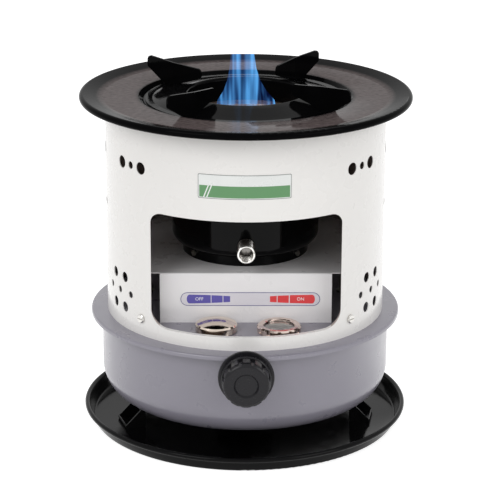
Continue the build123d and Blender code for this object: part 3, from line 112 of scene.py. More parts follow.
# The flame's height, half width and shift to the side, from the burner up
FLAME_LEVELS = (
    (0.322, 0.0290, 0.0002), (0.330, 0.0275, 0.0002), (0.340, 0.0205, -0.0010), (0.350, 0.0160, -0.0022),
    (0.362, 0.0130, -0.0030), (0.376, 0.0113, -0.0035), (0.392, 0.0100, -0.0037), (0.405, 0.0070, -0.0037),
)
FLAME_POINTS = 48
FLAME_DEPTH = 0.6
FLAME_RIPPLES = 7
FLAME_RIPPLE_HEIGHT = 0.04
FLAME_LOW_SHARE = 0.1


class StoveColours(bpy.types.PropertyGroup):
    """The colours of the enamels, plastics and prints."""

    casing: FloatVectorProperty(
        name="Casing", description="Off-white enamel of the casing", subtype="COLOR",
        default=linear(239, 237, 234), min=0, max=1)
    casing_inside: FloatVectorProperty(
        name="Casing inside", description="Bare inner side of the casing", subtype="COLOR",
        default=linear(172, 156, 147), min=0, max=1)
    tank: FloatVectorProperty(
        name="Tank", description="Lavender-grey enamel of the tank", subtype="COLOR",
        default=linear(136, 133, 144), min=0, max=1)
    deck: FloatVectorProperty(
        name="Deck", description="White enamel of the deck and its panel", subtype="COLOR",
        default=linear(238, 236, 237), min=0, max=1)
    black: FloatVectorProperty(
        name="Black enamel", description="Black of the top, the drum, the tray and the legs", subtype="COLOR",
        default=linear(7, 7, 8), min=0, max=1)
    knob: FloatVectorProperty(
        name="Knob", description="Dark plastic of the dial", subtype="COLOR",
        default=linear(22, 21, 25), min=0, max=1)
    band: FloatVectorProperty(
        name="Band", description="Green band on the label plate", subtype="COLOR",
        default=linear(96, 146, 98), min=0, max=1)
    off: FloatVectorProperty(
        name="OFF", description="Blue blocks on the panel", subtype="COLOR",
        default=linear(92, 84, 168), min=0, max=1)
    on: FloatVectorProperty(
        name="ON", description="Red blocks on the panel", subtype="COLOR",
        default=linear(226, 60, 64), min=0, max=1)


class StoveLabels(bpy.types.PropertyGroup):
    """The sizes and places of the printed plates."""

    plate_left: FloatProperty(
        name="Plate left", description="Left end of the label plate, along the casing",
        default=-0.0467, subtype="DISTANCE", unit="LENGTH")
    plate_right: FloatProperty(
        name="Plate right", description="Right end of the label plate, along the casing",
        default=0.0426, subtype="DISTANCE", unit="LENGTH")
    plate_low: FloatProperty(
        name="Plate bottom", description="Height of the label plate's lower edge",
        default=0.2695, subtype="DISTANCE", unit="LENGTH")
    plate_high: FloatProperty(
        name="Plate top", description="Height of the label plate's upper edge",
        default=0.2932, subtype="DISTANCE", unit="LENGTH")
    capsule_left: FloatProperty(
        name="Capsule left", description="Left end of the panel's capsule",
        default=-0.0636, subtype="DISTANCE", unit="LENGTH")
    capsule_right: FloatProperty(
        name="Capsule right", description="Right end of the panel's capsule",
        default=0.0723, subtype="DISTANCE", unit="LENGTH")
    capsule_low: FloatProperty(
        name="Capsule bottom", description="Height of the capsule's lower edge",
        default=0.1448, subtype="DISTANCE", unit="LENGTH")
    capsule_high: FloatProperty(
        name="Capsule top", description="Height of the capsule's upper edge",
        default=0.1581, subtype="DISTANCE", unit="LENGTH")
    letter_height: FloatProperty(
        name="Letters", description="Height of the words OFF and ON",
        default=0.0046, subtype="DISTANCE", unit="LENGTH")


class StoveStage(bpy.types.PropertyGroup):
    """The lamps, the camera and the flame."""

    key_power: FloatProperty(
        name="Key lamp", description="Power of the large lamp at the left", default=15, min=0, unit="POWER")
    fill_power: FloatProperty(
        name="Fill lamp", description="Power of the large lamp at the right", default=9, min=0, unit="POWER")
    sky: FloatProperty(
        name="Sky", description="Strength of the even light round the stove", default=0.62, min=0)
    lens: FloatProperty(
        name="Lens", description="Focal length of the camera in millimetres", default=155.0, min=10)
    flame_glow: FloatProperty(
        name="Flame", description="Strength of the flame's glow", default=0.54, min=0)


def settings():
    """The colours as they are set."""
    return bpy.context.scene.stove_colours


def labels():
    """The prints' sizes and places as they are set."""
    return bpy.context.scene.stove_labels


def stage_settings():
    """The lamps, the camera and the flame as they are set."""
    return bpy.context.scene.stove_stage


def shade(colour, factor):
    """The colour made darker or lighter by a factor."""
    return tuple(min(1.0, value * factor) for value in colour)


def place_noise(tree, scale, detail=4.0, stretch=(1, 1, 1)):
    """Noise that is fixed to the piece, stretched along its axes."""
    coordinates = tree.nodes.new("ShaderNodeTexCoord")
    mapping = tree.nodes.new("ShaderNodeMapping")
    mapping.inputs["Scale"].default_value = stretch
    noise = tree.nodes.new("ShaderNodeTexNoise")
    noise.inputs["Scale"].default_value = scale
    noise.inputs["Detail"].default_value = detail
    tree.links.new(coordinates.outputs["Object"], mapping.inputs["Vector"])
    tree.links.new(mapping.outputs["Vector"], noise.inputs["Vector"])
    return noise


def flat_place(tree):
    """A point's place on the piece, with its height left out."""
    coordinates = tree.nodes.new("ShaderNodeTexCoord")
    flatten = tree.nodes.new("ShaderNodeVectorMath")
    flatten.operation = "MULTIPLY"
    flatten.inputs[1].default_value = (1, 1, 0)
    tree.links.new(coordinates.outputs["Object"], flatten.inputs[0])
    return flatten.outputs["Vector"]


def mix_by(tree, factor, low, high):
    """A colour between low and high, chosen by the factor's value."""
    ramp = tree.nodes.new("ShaderNodeValToRGB")
    ramp.color_ramp.elements[0].position = NOISE_LOW
    ramp.color_ramp.elements[0].color = (*low, 1)
    ramp.color_ramp.elements[1].position = NOISE_HIGH
    ramp.color_ramp.elements[1].color = (*high, 1)
    tree.links.new(factor, ramp.inputs["Fac"])
    return ramp.outputs["Color"]


def range_by(tree, factor, low, high):
    """A number between low and high, chosen by the factor's value."""
    scaled = tree.nodes.new("ShaderNodeMapRange")
    scaled.inputs["From Min"].default_value = NOISE_LOW
    scaled.inputs["From Max"].default_value = NOISE_HIGH
    scaled.inputs["To Min"].default_value = low
    scaled.inputs["To Max"].default_value = high
    tree.links.new(factor, scaled.inputs["Value"])
    return scaled.outputs["Result"]


def mix_colours(tree, factor, first, second):
    """The first colour where the factor is 0, and the second where it is 1."""
    choose = tree.nodes.new("ShaderNodeMix")
    choose.data_type = "RGBA"
    tree.links.new(factor, choose.inputs["Factor"])
    tree.links.new(first, choose.inputs[MIX_FIRST])
    tree.links.new(second, choose.inputs[MIX_SECOND])
    return choose.outputs[MIX_RESULT]


def finish(name, colour, roughness, metallic=0.0, tone=0.05, tone_scale=30.0, spread=0.05,
           grain_scale=900.0, grain=0.05, depth=0.0001, coat=0.0, shine=0.5):
    """A finish whose tone, roughness and fine surface vary over the piece."""
    material = bpy.data.materials.new(name)
    material.use_nodes = True
    tree = material.node_tree
    shader = tree.nodes["Principled BSDF"]
    shader.inputs["Metallic"].default_value = metallic
    shader.inputs["Coat Weight"].default_value = coat
    shader.inputs["Coat Roughness"].default_value = 0.05
    shader.inputs["Specular IOR Level"].default_value = shine
    broad = place_noise(tree, tone_scale)
    tinted = mix_by(tree, broad.outputs["Fac"], shade(colour, 1 - tone), shade(colour, 1 + tone))
    tree.links.new(tinted, shader.inputs["Base Color"])
    patches = place_noise(tree, tone_scale * 3)
    rough = range_by(tree, patches.outputs["Fac"], max(0.02, roughness - spread), roughness + spread)
    tree.links.new(rough, shader.inputs["Roughness"])
    fine = place_noise(tree, grain_scale)
    bump = tree.nodes.new("ShaderNodeBump")
    bump.inputs["Strength"].default_value = grain
    bump.inputs["Distance"].default_value = depth
    tree.links.new(fine.outputs["Fac"], bump.inputs["Height"])
    tree.links.new(bump.outputs["Normal"], shader.inputs["Normal"])
    return material


def casing_finish():
    """Enamel outside, and a darker brown-grey with streaks of random tone inside."""
    colours = settings()
    material = finish("casing_enamel", colours.casing, 0.28, tone=0.006, tone_scale=12, spread=0.03,
                      grain_scale=420, grain=0.003, coat=0.35)
    tree = material.node_tree
    shader = tree.nodes["Principled BSDF"]
    outside = shader.inputs["Base Color"].links[0].from_socket
    geometry = tree.nodes.new("ShaderNodeNewGeometry")
    outward = tree.nodes.new("ShaderNodeVectorMath")
    outward.operation = "DOT_PRODUCT"
    side = tree.nodes.new("ShaderNodeMath")
    side.operation = "LESS_THAN"
    side.inputs[1].default_value = INWARD_LIMIT
    tree.links.new(flat_place(tree), outward.inputs[0])
    tree.links.new(geometry.outputs["True Normal"], outward.inputs[1])
    tree.links.new(outward.outputs["Value"], side.inputs[0])
    inside_streaks = place_noise(tree, 9, stretch=(1, 1, 2.5))
    inside = mix_by(tree, inside_streaks.outputs["Fac"], shade(colours.casing_inside, 0.8),
                    shade(colours.casing_inside, 1.15))
    mixed = mix_colours(tree, side.outputs["Value"], outside, inside)
    tree.links.new(mixed, shader.inputs["Base Color"])
    return material


def top_finish():
    """Black enamel with a painted brown-grey reflection on the flat ring."""
    material = finish("top_enamel", settings().black, 0.1, tone=0.15, tone_scale=40, spread=0.04,
                      grain_scale=260, grain=0.14, depth=0.0003, shine=0.014)
    tree = material.node_tree
    shader = tree.nodes["Principled BSDF"]
    gloss = shader.inputs["Base Color"].links[0].from_socket
    radius = tree.nodes.new("ShaderNodeVectorMath")
    radius.operation = "LENGTH"
    band = tree.nodes.new("ShaderNodeValToRGB")
    ramp = band.color_ramp
    for number, (place, value) in enumerate(PAINTED_REFLECTION_RING):
        if number > 1:
            ramp.elements.new(place)
        ramp.elements[number].position = place
        ramp.elements[number].color = (value, value, value, 1)
    # The flat ring's mottled brown-grey is a painted reflection, blended in by radius
    fine = place_noise(tree, 190, detail=5, stretch=(1, 3, 1))
    painted_reflection = mix_by(tree, fine.outputs["Fac"], linear(66, 57, 57), linear(108, 98, 97))
    tree.links.new(flat_place(tree), radius.inputs[0])
    tree.links.new(radius.outputs["Value"], band.inputs["Fac"])
    mixed = mix_colours(tree, band.outputs["Color"], gloss, painted_reflection)
    tree.links.new(mixed, shader.inputs["Base Color"])
    return material


def dress(material, *names):
    """Gives the nodes a material, with smooth curved faces and crisp edges."""
    for name in names:
        piece = NODES[name]
        piece.data.materials.clear()
        piece.data.materials.append(material)
        piece.data.polygons.foreach_set("use_smooth", [True] * len(piece.data.polygons))
        weld = piece.modifiers.new("weld", "WELD")
        weld.merge_threshold = WELD_DISTANCE
        edges = piece.modifiers.new("edges", "EDGE_SPLIT")
        edges.split_angle = CRISP_ANGLE
        edges.use_edge_sharp = False


def rounded_outline(left, right, low, high, corner):
    """A rounded rectangle's points, anticlockwise."""
    points = []
    centres = [(right - corner, low + corner, -90), (right - corner, high - corner, 0),
               (left + corner, high - corner, 90), (left + corner, low + corner, 180)]
    for across, up, start in centres:
        for step in range(ARC_STEPS + 1):
            angle = radians(start + 90 * step / ARC_STEPS)
            points.append((across + corner * cos(angle), up + corner * sin(angle)))
    return points


def arc_points(radius, first, last, steps=12):
    """Points along an arc between two angles in degrees."""
    points = []
    for step in range(steps + 1):
        angle = radians(first + (last - first) * step / steps)
        points.append((radius * cos(angle), radius * sin(angle)))
    return points


def tapered_block(start, end, middle, half_start, half_end, round_outer):
    """A tapering block whose taller end is rounded where it meets the capsule's end."""
    points = [(start, middle - half_start), (end, middle - half_end), (end, middle + half_end),
              (start, middle + half_start)]
    if not round_outer:
        return points
    right_is_outer = half_end > half_start
    edge, half = (end, half_end) if right_is_outer else (start, half_start)
    side = 1 if right_is_outer else -1
    centre = edge - side * half * BLOCK_BULGE
    arc = []
    for step in range(ARC_STEPS + 1):
        angle = radians(-90 + 180 * step / ARC_STEPS)
        arc.append((centre + side * half * BLOCK_BULGE * cos(angle), middle + half * sin(angle)))
    if right_is_outer:
        return [points[0]] + arc + [points[3]]
    return arc[::-1] + [points[1], points[2]]


def on_casing(across, up, lift):
    """A point on the casing's outer face, lift above it."""
    angle = across / CASING_FACE
    radius = CASING_FACE + lift
    return Vector((radius * sin(angle), -radius * cos(angle), up))


def on_panel(across, up, lift):
    """A point on the deck's front panel, lift before it."""
    return Vector((across, PANEL_FACE - lift, up))


def on_disc(across, up, lift):
    """A point on the gauge disc, lift above it."""
    return Vector((DISC_CENTRE.x + across, DISC_CENTRE.y + up, DISC_HIGH.z + lift))


def print_and_reflection_patch(name, outline, place, lift, thickness, material, body, step=0.002):
    """A thin printed piece, or the gauge's painted reflection, with this outline, laid on a face by place."""
    mesh = bpy.data.meshes.new(name)
    shape = bmesh.new()
    corners = [shape.verts.new((across, up, 0)) for across, up in outline]
    shape.faces.new(corners)
    left = min(across for across, up in outline)
    right = max(across for across, up in outline)
    cuts = int((right - left) / step)
    for number in range(1, cuts + 1):
        everything = shape.verts[:] + shape.edges[:] + shape.faces[:]
        bmesh.ops.bisect_plane(shape, geom=everything, plane_co=(left + number * step, 0, 0),
                               plane_no=(1, 0, 0))
    raised = bmesh.ops.extrude_face_region(shape, geom=shape.faces[:])
    for item in raised["geom"]:
        if isinstance(item, bmesh.types.BMVert):
            item.co.z = thickness
    for corner in shape.verts:
        corner.co = place(corner.co.x, corner.co.y, lift + corner.co.z)
    bmesh.ops.recalc_face_normals(shape, faces=shape.faces[:])
    shape.to_mesh(mesh)
    shape.free()
    mesh.materials.append(material)
    piece = bpy.data.objects.new(name, mesh)
    bpy.context.scene.collection.objects.link(piece)
    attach(piece, body)


def print_line(name, outline, width, place, lift, material, body):
    """A closed line of even width that follows an outline."""
    curve = bpy.data.curves.new(name, "CURVE")
    curve.dimensions = "3D"
    curve.bevel_depth = width / 2
    curve.bevel_resolution = 1
    spline = curve.splines.new("POLY")
    spline.points.add(len(outline) - 1)
    for point, (across, up) in zip(spline.points, outline):
        point.co = (*place(across, up, lift), 1)
    spline.use_cyclic_u = True
    curve.materials.append(material)
    piece = bpy.data.objects.new(name, curve)
    bpy.context.scene.collection.objects.link(piece)
    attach(piece, body)


class STOVE_OT_black_enamel(bpy.types.Operator):
    """Glossy black enamel on the top plate, the pot ring and its supports"""

    bl_idname = "stove.black_enamel"
    bl_label = "Black Top"

    def execute(self, context):
        material = finish("black_top_enamel", settings().black, 0.09, tone=0.15, tone_scale=40, spread=0.04,
                          grain_scale=260, grain=0.14, depth=0.0003, shine=0.025)
        dress(top_finish(), "top_plate")
        dress(material, "pot_ring", "pot_support_1", "pot_support_2", "pot_support_3",
              "pot_support_4")
        return {"FINISHED"}


class STOVE_OT_casing(bpy.types.Operator):
    """Off-white enamel on the casing"""

    bl_idname = "stove.casing"
    bl_label = "Casing"

    def execute(self, context):
        dress(casing_finish(), "outer_casing")
        return {"FINISHED"}


class STOVE_OT_tank(bpy.types.Operator):
    """Lavender-grey enamel on the tank"""

    bl_idname = "stove.tank"
    bl_label = "Tank"

    def execute(self, context):
        material = finish("tank_enamel", settings().tank, 0.3, tone=0.02, tone_scale=15, spread=0.04,
                          grain_scale=500, grain=0.003, coat=0.3)
        dress(material, "tank_bowl", "tank_top")
        return {"FINISHED"}


class STOVE_OT_tray(bpy.types.Operator):
    """Glossy black enamel on the drip tray"""

    bl_idname = "stove.tray"
    bl_label = "Drip Tray"

    def execute(self, context):
        material = finish("tray_enamel", settings().black, 0.12, tone=0.12, tone_scale=35, spread=0.04,
                          grain_scale=300, grain=0.1, depth=0.0002, shine=0.08)
        dress(material, "drip_tray")
        return {"FINISHED"}


class STOVE_OT_deck(bpy.types.Operator):
    """White enamel on the deck and its front panel"""

    bl_idname = "stove.deck"
    bl_label = "Deck"

    def execute(self, context):
        material = finish("deck_enamel", settings().deck, 0.3, tone=0.015, tone_scale=18, spread=0.04,
                          grain_scale=480, grain=0.003, coat=0.25)
        dress(material, "deck")
        return {"FINISHED"}


class STOVE_OT_burner(bpy.types.Operator):
    """Black drum, heat-tinted flame tubes and the burner's plates"""

    bl_idname = "stove.burner"
    bl_label = "Burner"

    def execute(self, context):
        drum = finish("drum_enamel", settings().black, 0.08, tone=0.12, tone_scale=40, spread=0.03,
                      grain_scale=240, grain=0.1, depth=0.0003, shine=0.09)
        hot = finish("heated_steel", linear(118, 104, 94), 0.45, metallic=1.0, tone=0.3, tone_scale=55,
                     spread=0.1, grain_scale=700, grain=0.15)
        plated = finish("burner_plate_steel", linear(158, 154, 148), 0.35, metallic=1.0, tone=0.12,
                        tone_scale=50, grain_scale=800, grain=0.1)
        dress(drum, "burner_drum")
        dress(hot, "outer_flame_tube", "inner_flame_tube", "flame_spreader", "burner_cone")
        dress(plated, "burner_base_plate", "flame_tube_pins", "drum_screws", "burner_seat_ring")
        return {"FINISHED"}


class STOVE_OT_handle(bpy.types.Operator):
    """Bright coil-spring handle and its stud"""

    bl_idname = "stove.handle"
    bl_label = "Handle"

    def execute(self, context):
        material = finish("handle_chrome", linear(226, 224, 220), 0.12, metallic=1.0, tone=0.04,
                          tone_scale=300, spread=0.05, grain_scale=2500, grain=0.08, depth=0.00005)
        stud = finish("stud_steel", linear(128, 125, 122), 0.2, metallic=1.0, tone=0.08)
        dress(material, "handle_spring")
        dress(stud, "handle_stud")
        return {"FINISHED"}


class STOVE_OT_cap(bpy.types.Operator):
    """Nickel-plated fuel cap, the filler, its gasket and the shaft's packing ring"""

    bl_idname = "stove.cap"
    bl_label = "Fuel Cap"

    def execute(self, context):
        nickel = finish("cap_nickel", linear(218, 205, 192), 0.1, metallic=1.0, tone=0.05, tone_scale=120,
                        spread=0.05, grain_scale=1500, grain=0.06, depth=0.00005)
        inner = finish("filler_tin", linear(170, 168, 160), 0.4, metallic=1.0, tone=0.1, tone_scale=90)
        rubber = finish("black_rubber", linear(30, 29, 29), 0.75, tone=0.15, tone_scale=150,
                        grain_scale=1500, grain=0.3)
        dress(nickel, "fuel_cap")
        dress(inner, "filler_neck", "filler_strainer")
        dress(rubber, "cap_gasket", "shaft_packing")
        return {"FINISHED"}


class STOVE_OT_gauge(bpy.types.Operator):
    """Fuel gauge: bezel, lens, disc with its red mark and a painted dark reflection, and the float works"""

    bl_idname = "stove.gauge"
    bl_label = "Fuel Gauge"

    def execute(self, context):
        bezel = finish("bezel_nickel", linear(220, 203, 193), 0.14, metallic=1.0, tone=0.06, tone_scale=120,
                       spread=0.06, grain_scale=1500, grain=0.08, depth=0.00005)
        disc = finish("disc_white", linear(226, 214, 210), 0.5, tone=0.02, tone_scale=80)
        works = finish("gauge_works", linear(176, 172, 160), 0.4, metallic=1.0, tone=0.1, tone_scale=90)
        cork = finish("float_cork", linear(168, 128, 84), 0.8, tone=0.3, tone_scale=260, grain_scale=500,
                      grain=0.6, depth=0.0004)
        red = finish("mark_red", linear(206, 70, 66), 0.5, tone=0.04)
        # Dark colour of the painted reflection on the disc
        dark = finish("disc_painted_reflection", linear(24, 23, 25), 0.5, tone=0.05)
        lens = finish("gauge_glass", (0.97, 0.98, 0.98), 0.04, tone=0.01, spread=0.01, grain_scale=60,
                      grain=0.03)
        shader = lens.node_tree.nodes["Principled BSDF"]
        shader.inputs["Transmission Weight"].default_value = 1.0
        shader.inputs["IOR"].default_value = 1.48
        dress(bezel, "gauge_bezel")
        dress(lens, "gauge_lens")
        dress(disc, "gauge_disc")
        dress(works, "gauge_housing", "gauge_spindle")
        dress(cork, "fuel_float")
        reach = (DISC_HIGH.x - DISC_LOW.x) / 2
        # The dark arc at the back of the disc is a painted reflection of the gauge's inner wall
        mark_and_reflection_arcs = (("gauge_low_mark", -80, 10, red), ("gauge_painted_reflection", 60, 120, dark))
        for name, first, last, material in mark_and_reflection_arcs:
            outer = arc_points(reach * MARK_AND_REFLECTION_OUTER, first, last)
            inner = arc_points(reach * MARK_AND_REFLECTION_INNER, first, last)
            print_and_reflection_patch(name, outer + inner[::-1], on_disc, PRINT_AND_REFLECTION_GAP, 0.00006, material, "indicator")
        return {"FINISHED"}


class STOVE_OT_dial(bpy.types.Operator):
    """Dark plastic dial, its steel shaft and tube, and the brass gear and gland"""

    bl_idname = "stove.dial"
    bl_label = "Dial"

    def execute(self, context):
        plastic = finish("dial_plastic", settings().knob, 0.24, tone=0.06, tone_scale=120, spread=0.05,
                         grain_scale=1800, grain=0.12, depth=0.00008, shine=0.25)
        steel = finish("shaft_steel", linear(184, 182, 178), 0.3, metallic=1.0, tone=0.05)
        brass = finish("gear_brass", linear(206, 168, 92), 0.32, metallic=1.0, tone=0.08, tone_scale=120)
        dress(plastic, "control_knob")
        dress(steel, "dial_shaft", "shaft_tube")
        dress(brass, "wick_pinion", "shaft_gland")
        return {"FINISHED"}


class STOVE_OT_wick(bpy.types.Operator):
    """Woven wick, its carrier, the two wick tubes and their nuts"""

    bl_idname = "stove.wick"
    bl_label = "Wick"

    def execute(self, context):
        cotton = finish("wick_cotton", linear(224, 214, 192), 0.95, tone=0.12, tone_scale=400,
                        grain_scale=1400, grain=0.9, depth=0.0005)
        tubes = finish("wick_tube_steel", linear(166, 163, 157), 0.38, metallic=1.0, tone=0.1, tone_scale=60,
                       grain_scale=900, grain=0.1)
        dress(cotton, "wick")
        dress(tubes, "wick_carrier", "wick_inner_tube", "wick_outer_tube", "wick_tube_nuts")
        return {"FINISHED"}


class STOVE_OT_hardware(bpy.types.Operator):
    """Black legs, zinc-plated posts and brackets, and bright casing screws"""

    bl_idname = "stove.hardware"
    bl_label = "Hardware"

    def execute(self, context):
        zinc = finish("zinc_plate", linear(176, 176, 174), 0.34, metallic=1.0, tone=0.14, tone_scale=70,
                      spread=0.08, grain_scale=800, grain=0.12)
        painted = finish("leg_enamel", settings().black, 0.25, tone=0.1, shine=0.2)
        bright = finish("screw_steel", linear(206, 204, 200), 0.16, metallic=1.0, tone=0.05)
        dress(zinc, "deck_posts", "casing_brackets")
        dress(painted, "tank_legs")
        dress(bright, "casing_screws")
        return {"FINISHED"}


class STOVE_OT_label(bpy.types.Operator):
    """Bare label plate on the casing, with its green band"""

    bl_idname = "stove.label"
    bl_label = "Label Plate"

    def execute(self, context):
        sizes = labels()
        left, right = sizes.plate_left, sizes.plate_right
        low, high = sizes.plate_low, sizes.plate_high
        silver = finish("label_silver", linear(226, 228, 226), 0.3, metallic=0.15, tone=0.02)
        border = finish("label_border", linear(128, 132, 130), 0.35, metallic=0.4, tone=0.04)
        green = finish("label_green", settings().band, 0.35, tone=0.03)
        white = finish("label_white", linear(238, 240, 238), 0.4, tone=0.01)
        edge = 0.0006
        outer = rounded_outline(left, right, low, high, 0.0012)
        inner = rounded_outline(left + edge, right - edge, low + edge, high - edge, 0.001)
        print_and_reflection_patch("label_border", outer, on_casing, PRINT_AND_REFLECTION_GAP, 0.0002, border, "stove")
        print_and_reflection_patch("label_plate", inner, on_casing, 0.0002, 0.00008, silver, "stove")
        margin = 0.0014
        band_low = low + 0.0013
        band_high = low + 0.0128
        band = [(left + margin, band_low), (right - margin, band_low), (right - margin, band_high),
                (left + margin, band_high)]
        print_and_reflection_patch("label_band", band, on_casing, 0.00028, 0.00005, green, "stove")
        first, pitch, width, slant = 0.0052, 0.0030, 0.0012, 0.0045
        for number in range(2):
            start = left + first + number * pitch
            stripe = [(start, band_low), (start + width, band_low), (start + width + slant, band_high),
                      (start + slant, band_high)]
            print_and_reflection_patch("label_stripe_%d" % (number + 1), stripe, on_casing, 0.00033, 0.00004, white, "stove")
        return {"FINISHED"}


class STOVE_OT_capsule(bpy.types.Operator):
    """Capsule on the panel, with the words OFF and ON"""

    bl_idname = "stove.capsule"
    bl_label = "Panel Marks"

    def execute(self, context):
        sizes = labels()
        left, right = sizes.capsule_left, sizes.capsule_right
        low, high = sizes.capsule_low, sizes.capsule_high
        middle = (low + high) / 2
        pale = finish("capsule_pale", linear(222, 219, 226), 0.35, tone=0.01)
        rim = finish("capsule_rim", linear(84, 82, 140), 0.4, tone=0.06)
        blue = finish("capsule_blue", settings().off, 0.4, tone=0.03)
        red = finish("capsule_red", settings().on, 0.4, tone=0.03)
        white = finish("capsule_white", linear(244, 244, 246), 0.4, tone=0.01)
        # A corner a hair under half the height keeps the straight ends from closing up
        outline = rounded_outline(left, right, low, high, (high - low) / 2 - 0.00001)
        print_and_reflection_patch("capsule_ground", outline, on_panel, PRINT_AND_REFLECTION_GAP, 0.00008, pale, "stove", step=0.02)
        print_line("capsule_line", outline, 0.0006, on_panel, 0.00012, rim, "stove")
        # Name, left end, right end, half height at each end, material
        rows = (
            ("capsule_off_wide", -0.0578, -0.0343, 0.0046, 0.0041, blue),
            ("capsule_off_mid", -0.0336, -0.0227, 0.0040, 0.0035, blue),
            ("capsule_off_end", -0.0220, -0.0154, 0.0034, 0.0030, blue),
            ("capsule_on_end", 0.0236, 0.0302, 0.0030, 0.0034, red),
            ("capsule_on_mid", 0.0310, 0.0420, 0.0035, 0.0040, red),
            ("capsule_on_wide", 0.0430, 0.0676, 0.0041, 0.0046, red),
        )
        for name, start, end, half_start, half_end, material in rows:
            block = tapered_block(start, end, middle, half_start, half_end, name.endswith("wide"))
            print_and_reflection_patch(name, block, on_panel, 0.0001, 0.00006, material, "stove", step=0.05)
        for name, word, across in (("capsule_word_off", "OFF", -0.0455), ("capsule_word_on", "ON", 0.0535)):
            letters = bpy.data.curves.new(name, "FONT")
            letters.body = word
            letters.size = sizes.letter_height
            letters.align_x = "CENTER"
            letters.align_y = "CENTER"
            letters.extrude = 0.00003
            letters.materials.append(white)
            piece = bpy.data.objects.new(name, letters)
            piece.rotation_euler = (pi / 2, 0, 0)
            piece.location = on_panel(across, middle, 0.00019)
            bpy.context.scene.collection.objects.link(piece)
            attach(piece, "stove")
        return {"FINISHED"}


class STOVE_OT_flame(bpy.types.Operator):
    """Blue flame over the burner, which belongs to the stage"""

    bl_idname = "stove.flame"
    bl_label = "Flame"

    def execute(self, context):
        mesh = bpy.data.meshes.new("flame")
        shape = bmesh.new()
        rows = []
        for height, radius, shift in FLAME_LEVELS:
            row = []
            for number in range(FLAME_POINTS):
                angle = 2 * pi * number / FLAME_POINTS
                ripple = 1 + FLAME_RIPPLE_HEIGHT * sin(angle * FLAME_RIPPLES)
                row.append(shape.verts.new((shift + radius * ripple * cos(angle),
                                            FLAME_DEPTH * radius * ripple * sin(angle), height)))
            rows.append(row)
        for lower, upper in zip(rows, rows[1:]):
            for number in range(FLAME_POINTS):
                following = (number + 1) % FLAME_POINTS
                shape.faces.new((lower[number], lower[following], upper[following], upper[number]))
        shape.to_mesh(mesh)
        shape.free()
        mesh.polygons.foreach_set("use_smooth", [True] * len(mesh.polygons))
        material = bpy.data.materials.new("flame_glow")
        material.use_nodes = True
        tree = material.node_tree
        tree.nodes.clear()
        output = tree.nodes.new("ShaderNodeOutputMaterial")
        clear = tree.nodes.new("ShaderNodeBsdfTransparent")
        glow = tree.nodes.new("ShaderNodeEmission")
        together = tree.nodes.new("ShaderNodeAddShader")
        streaks = place_noise(tree, 60, detail=0, stretch=(5, 1, 0.02))
        tinted = mix_by(tree, streaks.outputs["Fac"], linear(12, 46, 132), linear(84, 160, 226))
        brightest = stage_settings().flame_glow
        strength = range_by(tree, streaks.outputs["Fac"], brightest * FLAME_LOW_SHARE, brightest)
        tree.links.new(tinted, glow.inputs["Color"])
        tree.links.new(strength, glow.inputs["Strength"])
        tree.links.new(clear.outputs["BSDF"], together.inputs[0])
        tree.links.new(glow.outputs["Emission"], together.inputs[1])
        tree.links.new(together.outputs["Shader"], output.inputs["Surface"])
        mesh.materials.append(material)
        flame = bpy.data.objects.new("flame", mesh)
        flame.visible_shadow = False
        flame.visible_diffuse = False
        bpy.context.scene.collection.objects.link(flame)
        return {"FINISHED"}


def lamp(name, place, power):
    """A large soft square lamp that faces the stove."""
    light = bpy.data.lights.new(name, "AREA")
    light.size = LAMP_SIZE
    light.energy = power
    piece = bpy.data.objects.new(name, light)
    piece.location = place
    piece.rotation_euler = (Vector(LAMP_AIM) - Vector(place)).to_track_quat("-Z", "Y").to_euler()
    bpy.context.scene.collection.objects.link(piece)


def seen_directly(tree):
    """1 for what the camera sees, straight, in a mirror or through glass, and 0 for plain light."""
    path = tree.nodes.new("ShaderNodeLightPath")
    mirrored = tree.nodes.new("ShaderNodeMath")
    mirrored.operation = "MAXIMUM"
    seen = tree.nodes.new("ShaderNodeMath")
    seen.operation = "MAXIMUM"
    tree.links.new(path.outputs["Is Glossy Ray"], mirrored.inputs[0])
    tree.links.new(path.outputs["Is Transmission Ray"], mirrored.inputs[1])
    tree.links.new(path.outputs["Is Camera Ray"], seen.inputs[0])
    tree.links.new(mirrored.outputs["Value"], seen.inputs[1])
    return seen.outputs["Value"]


def white_background(tree, strength):
    """Even white light of this strength."""
    background = tree.nodes.new("ShaderNodeBackground")
    background.inputs["Color"].default_value = (1, 1, 1, 1)
    background.inputs["Strength"].default_value = strength
    return background


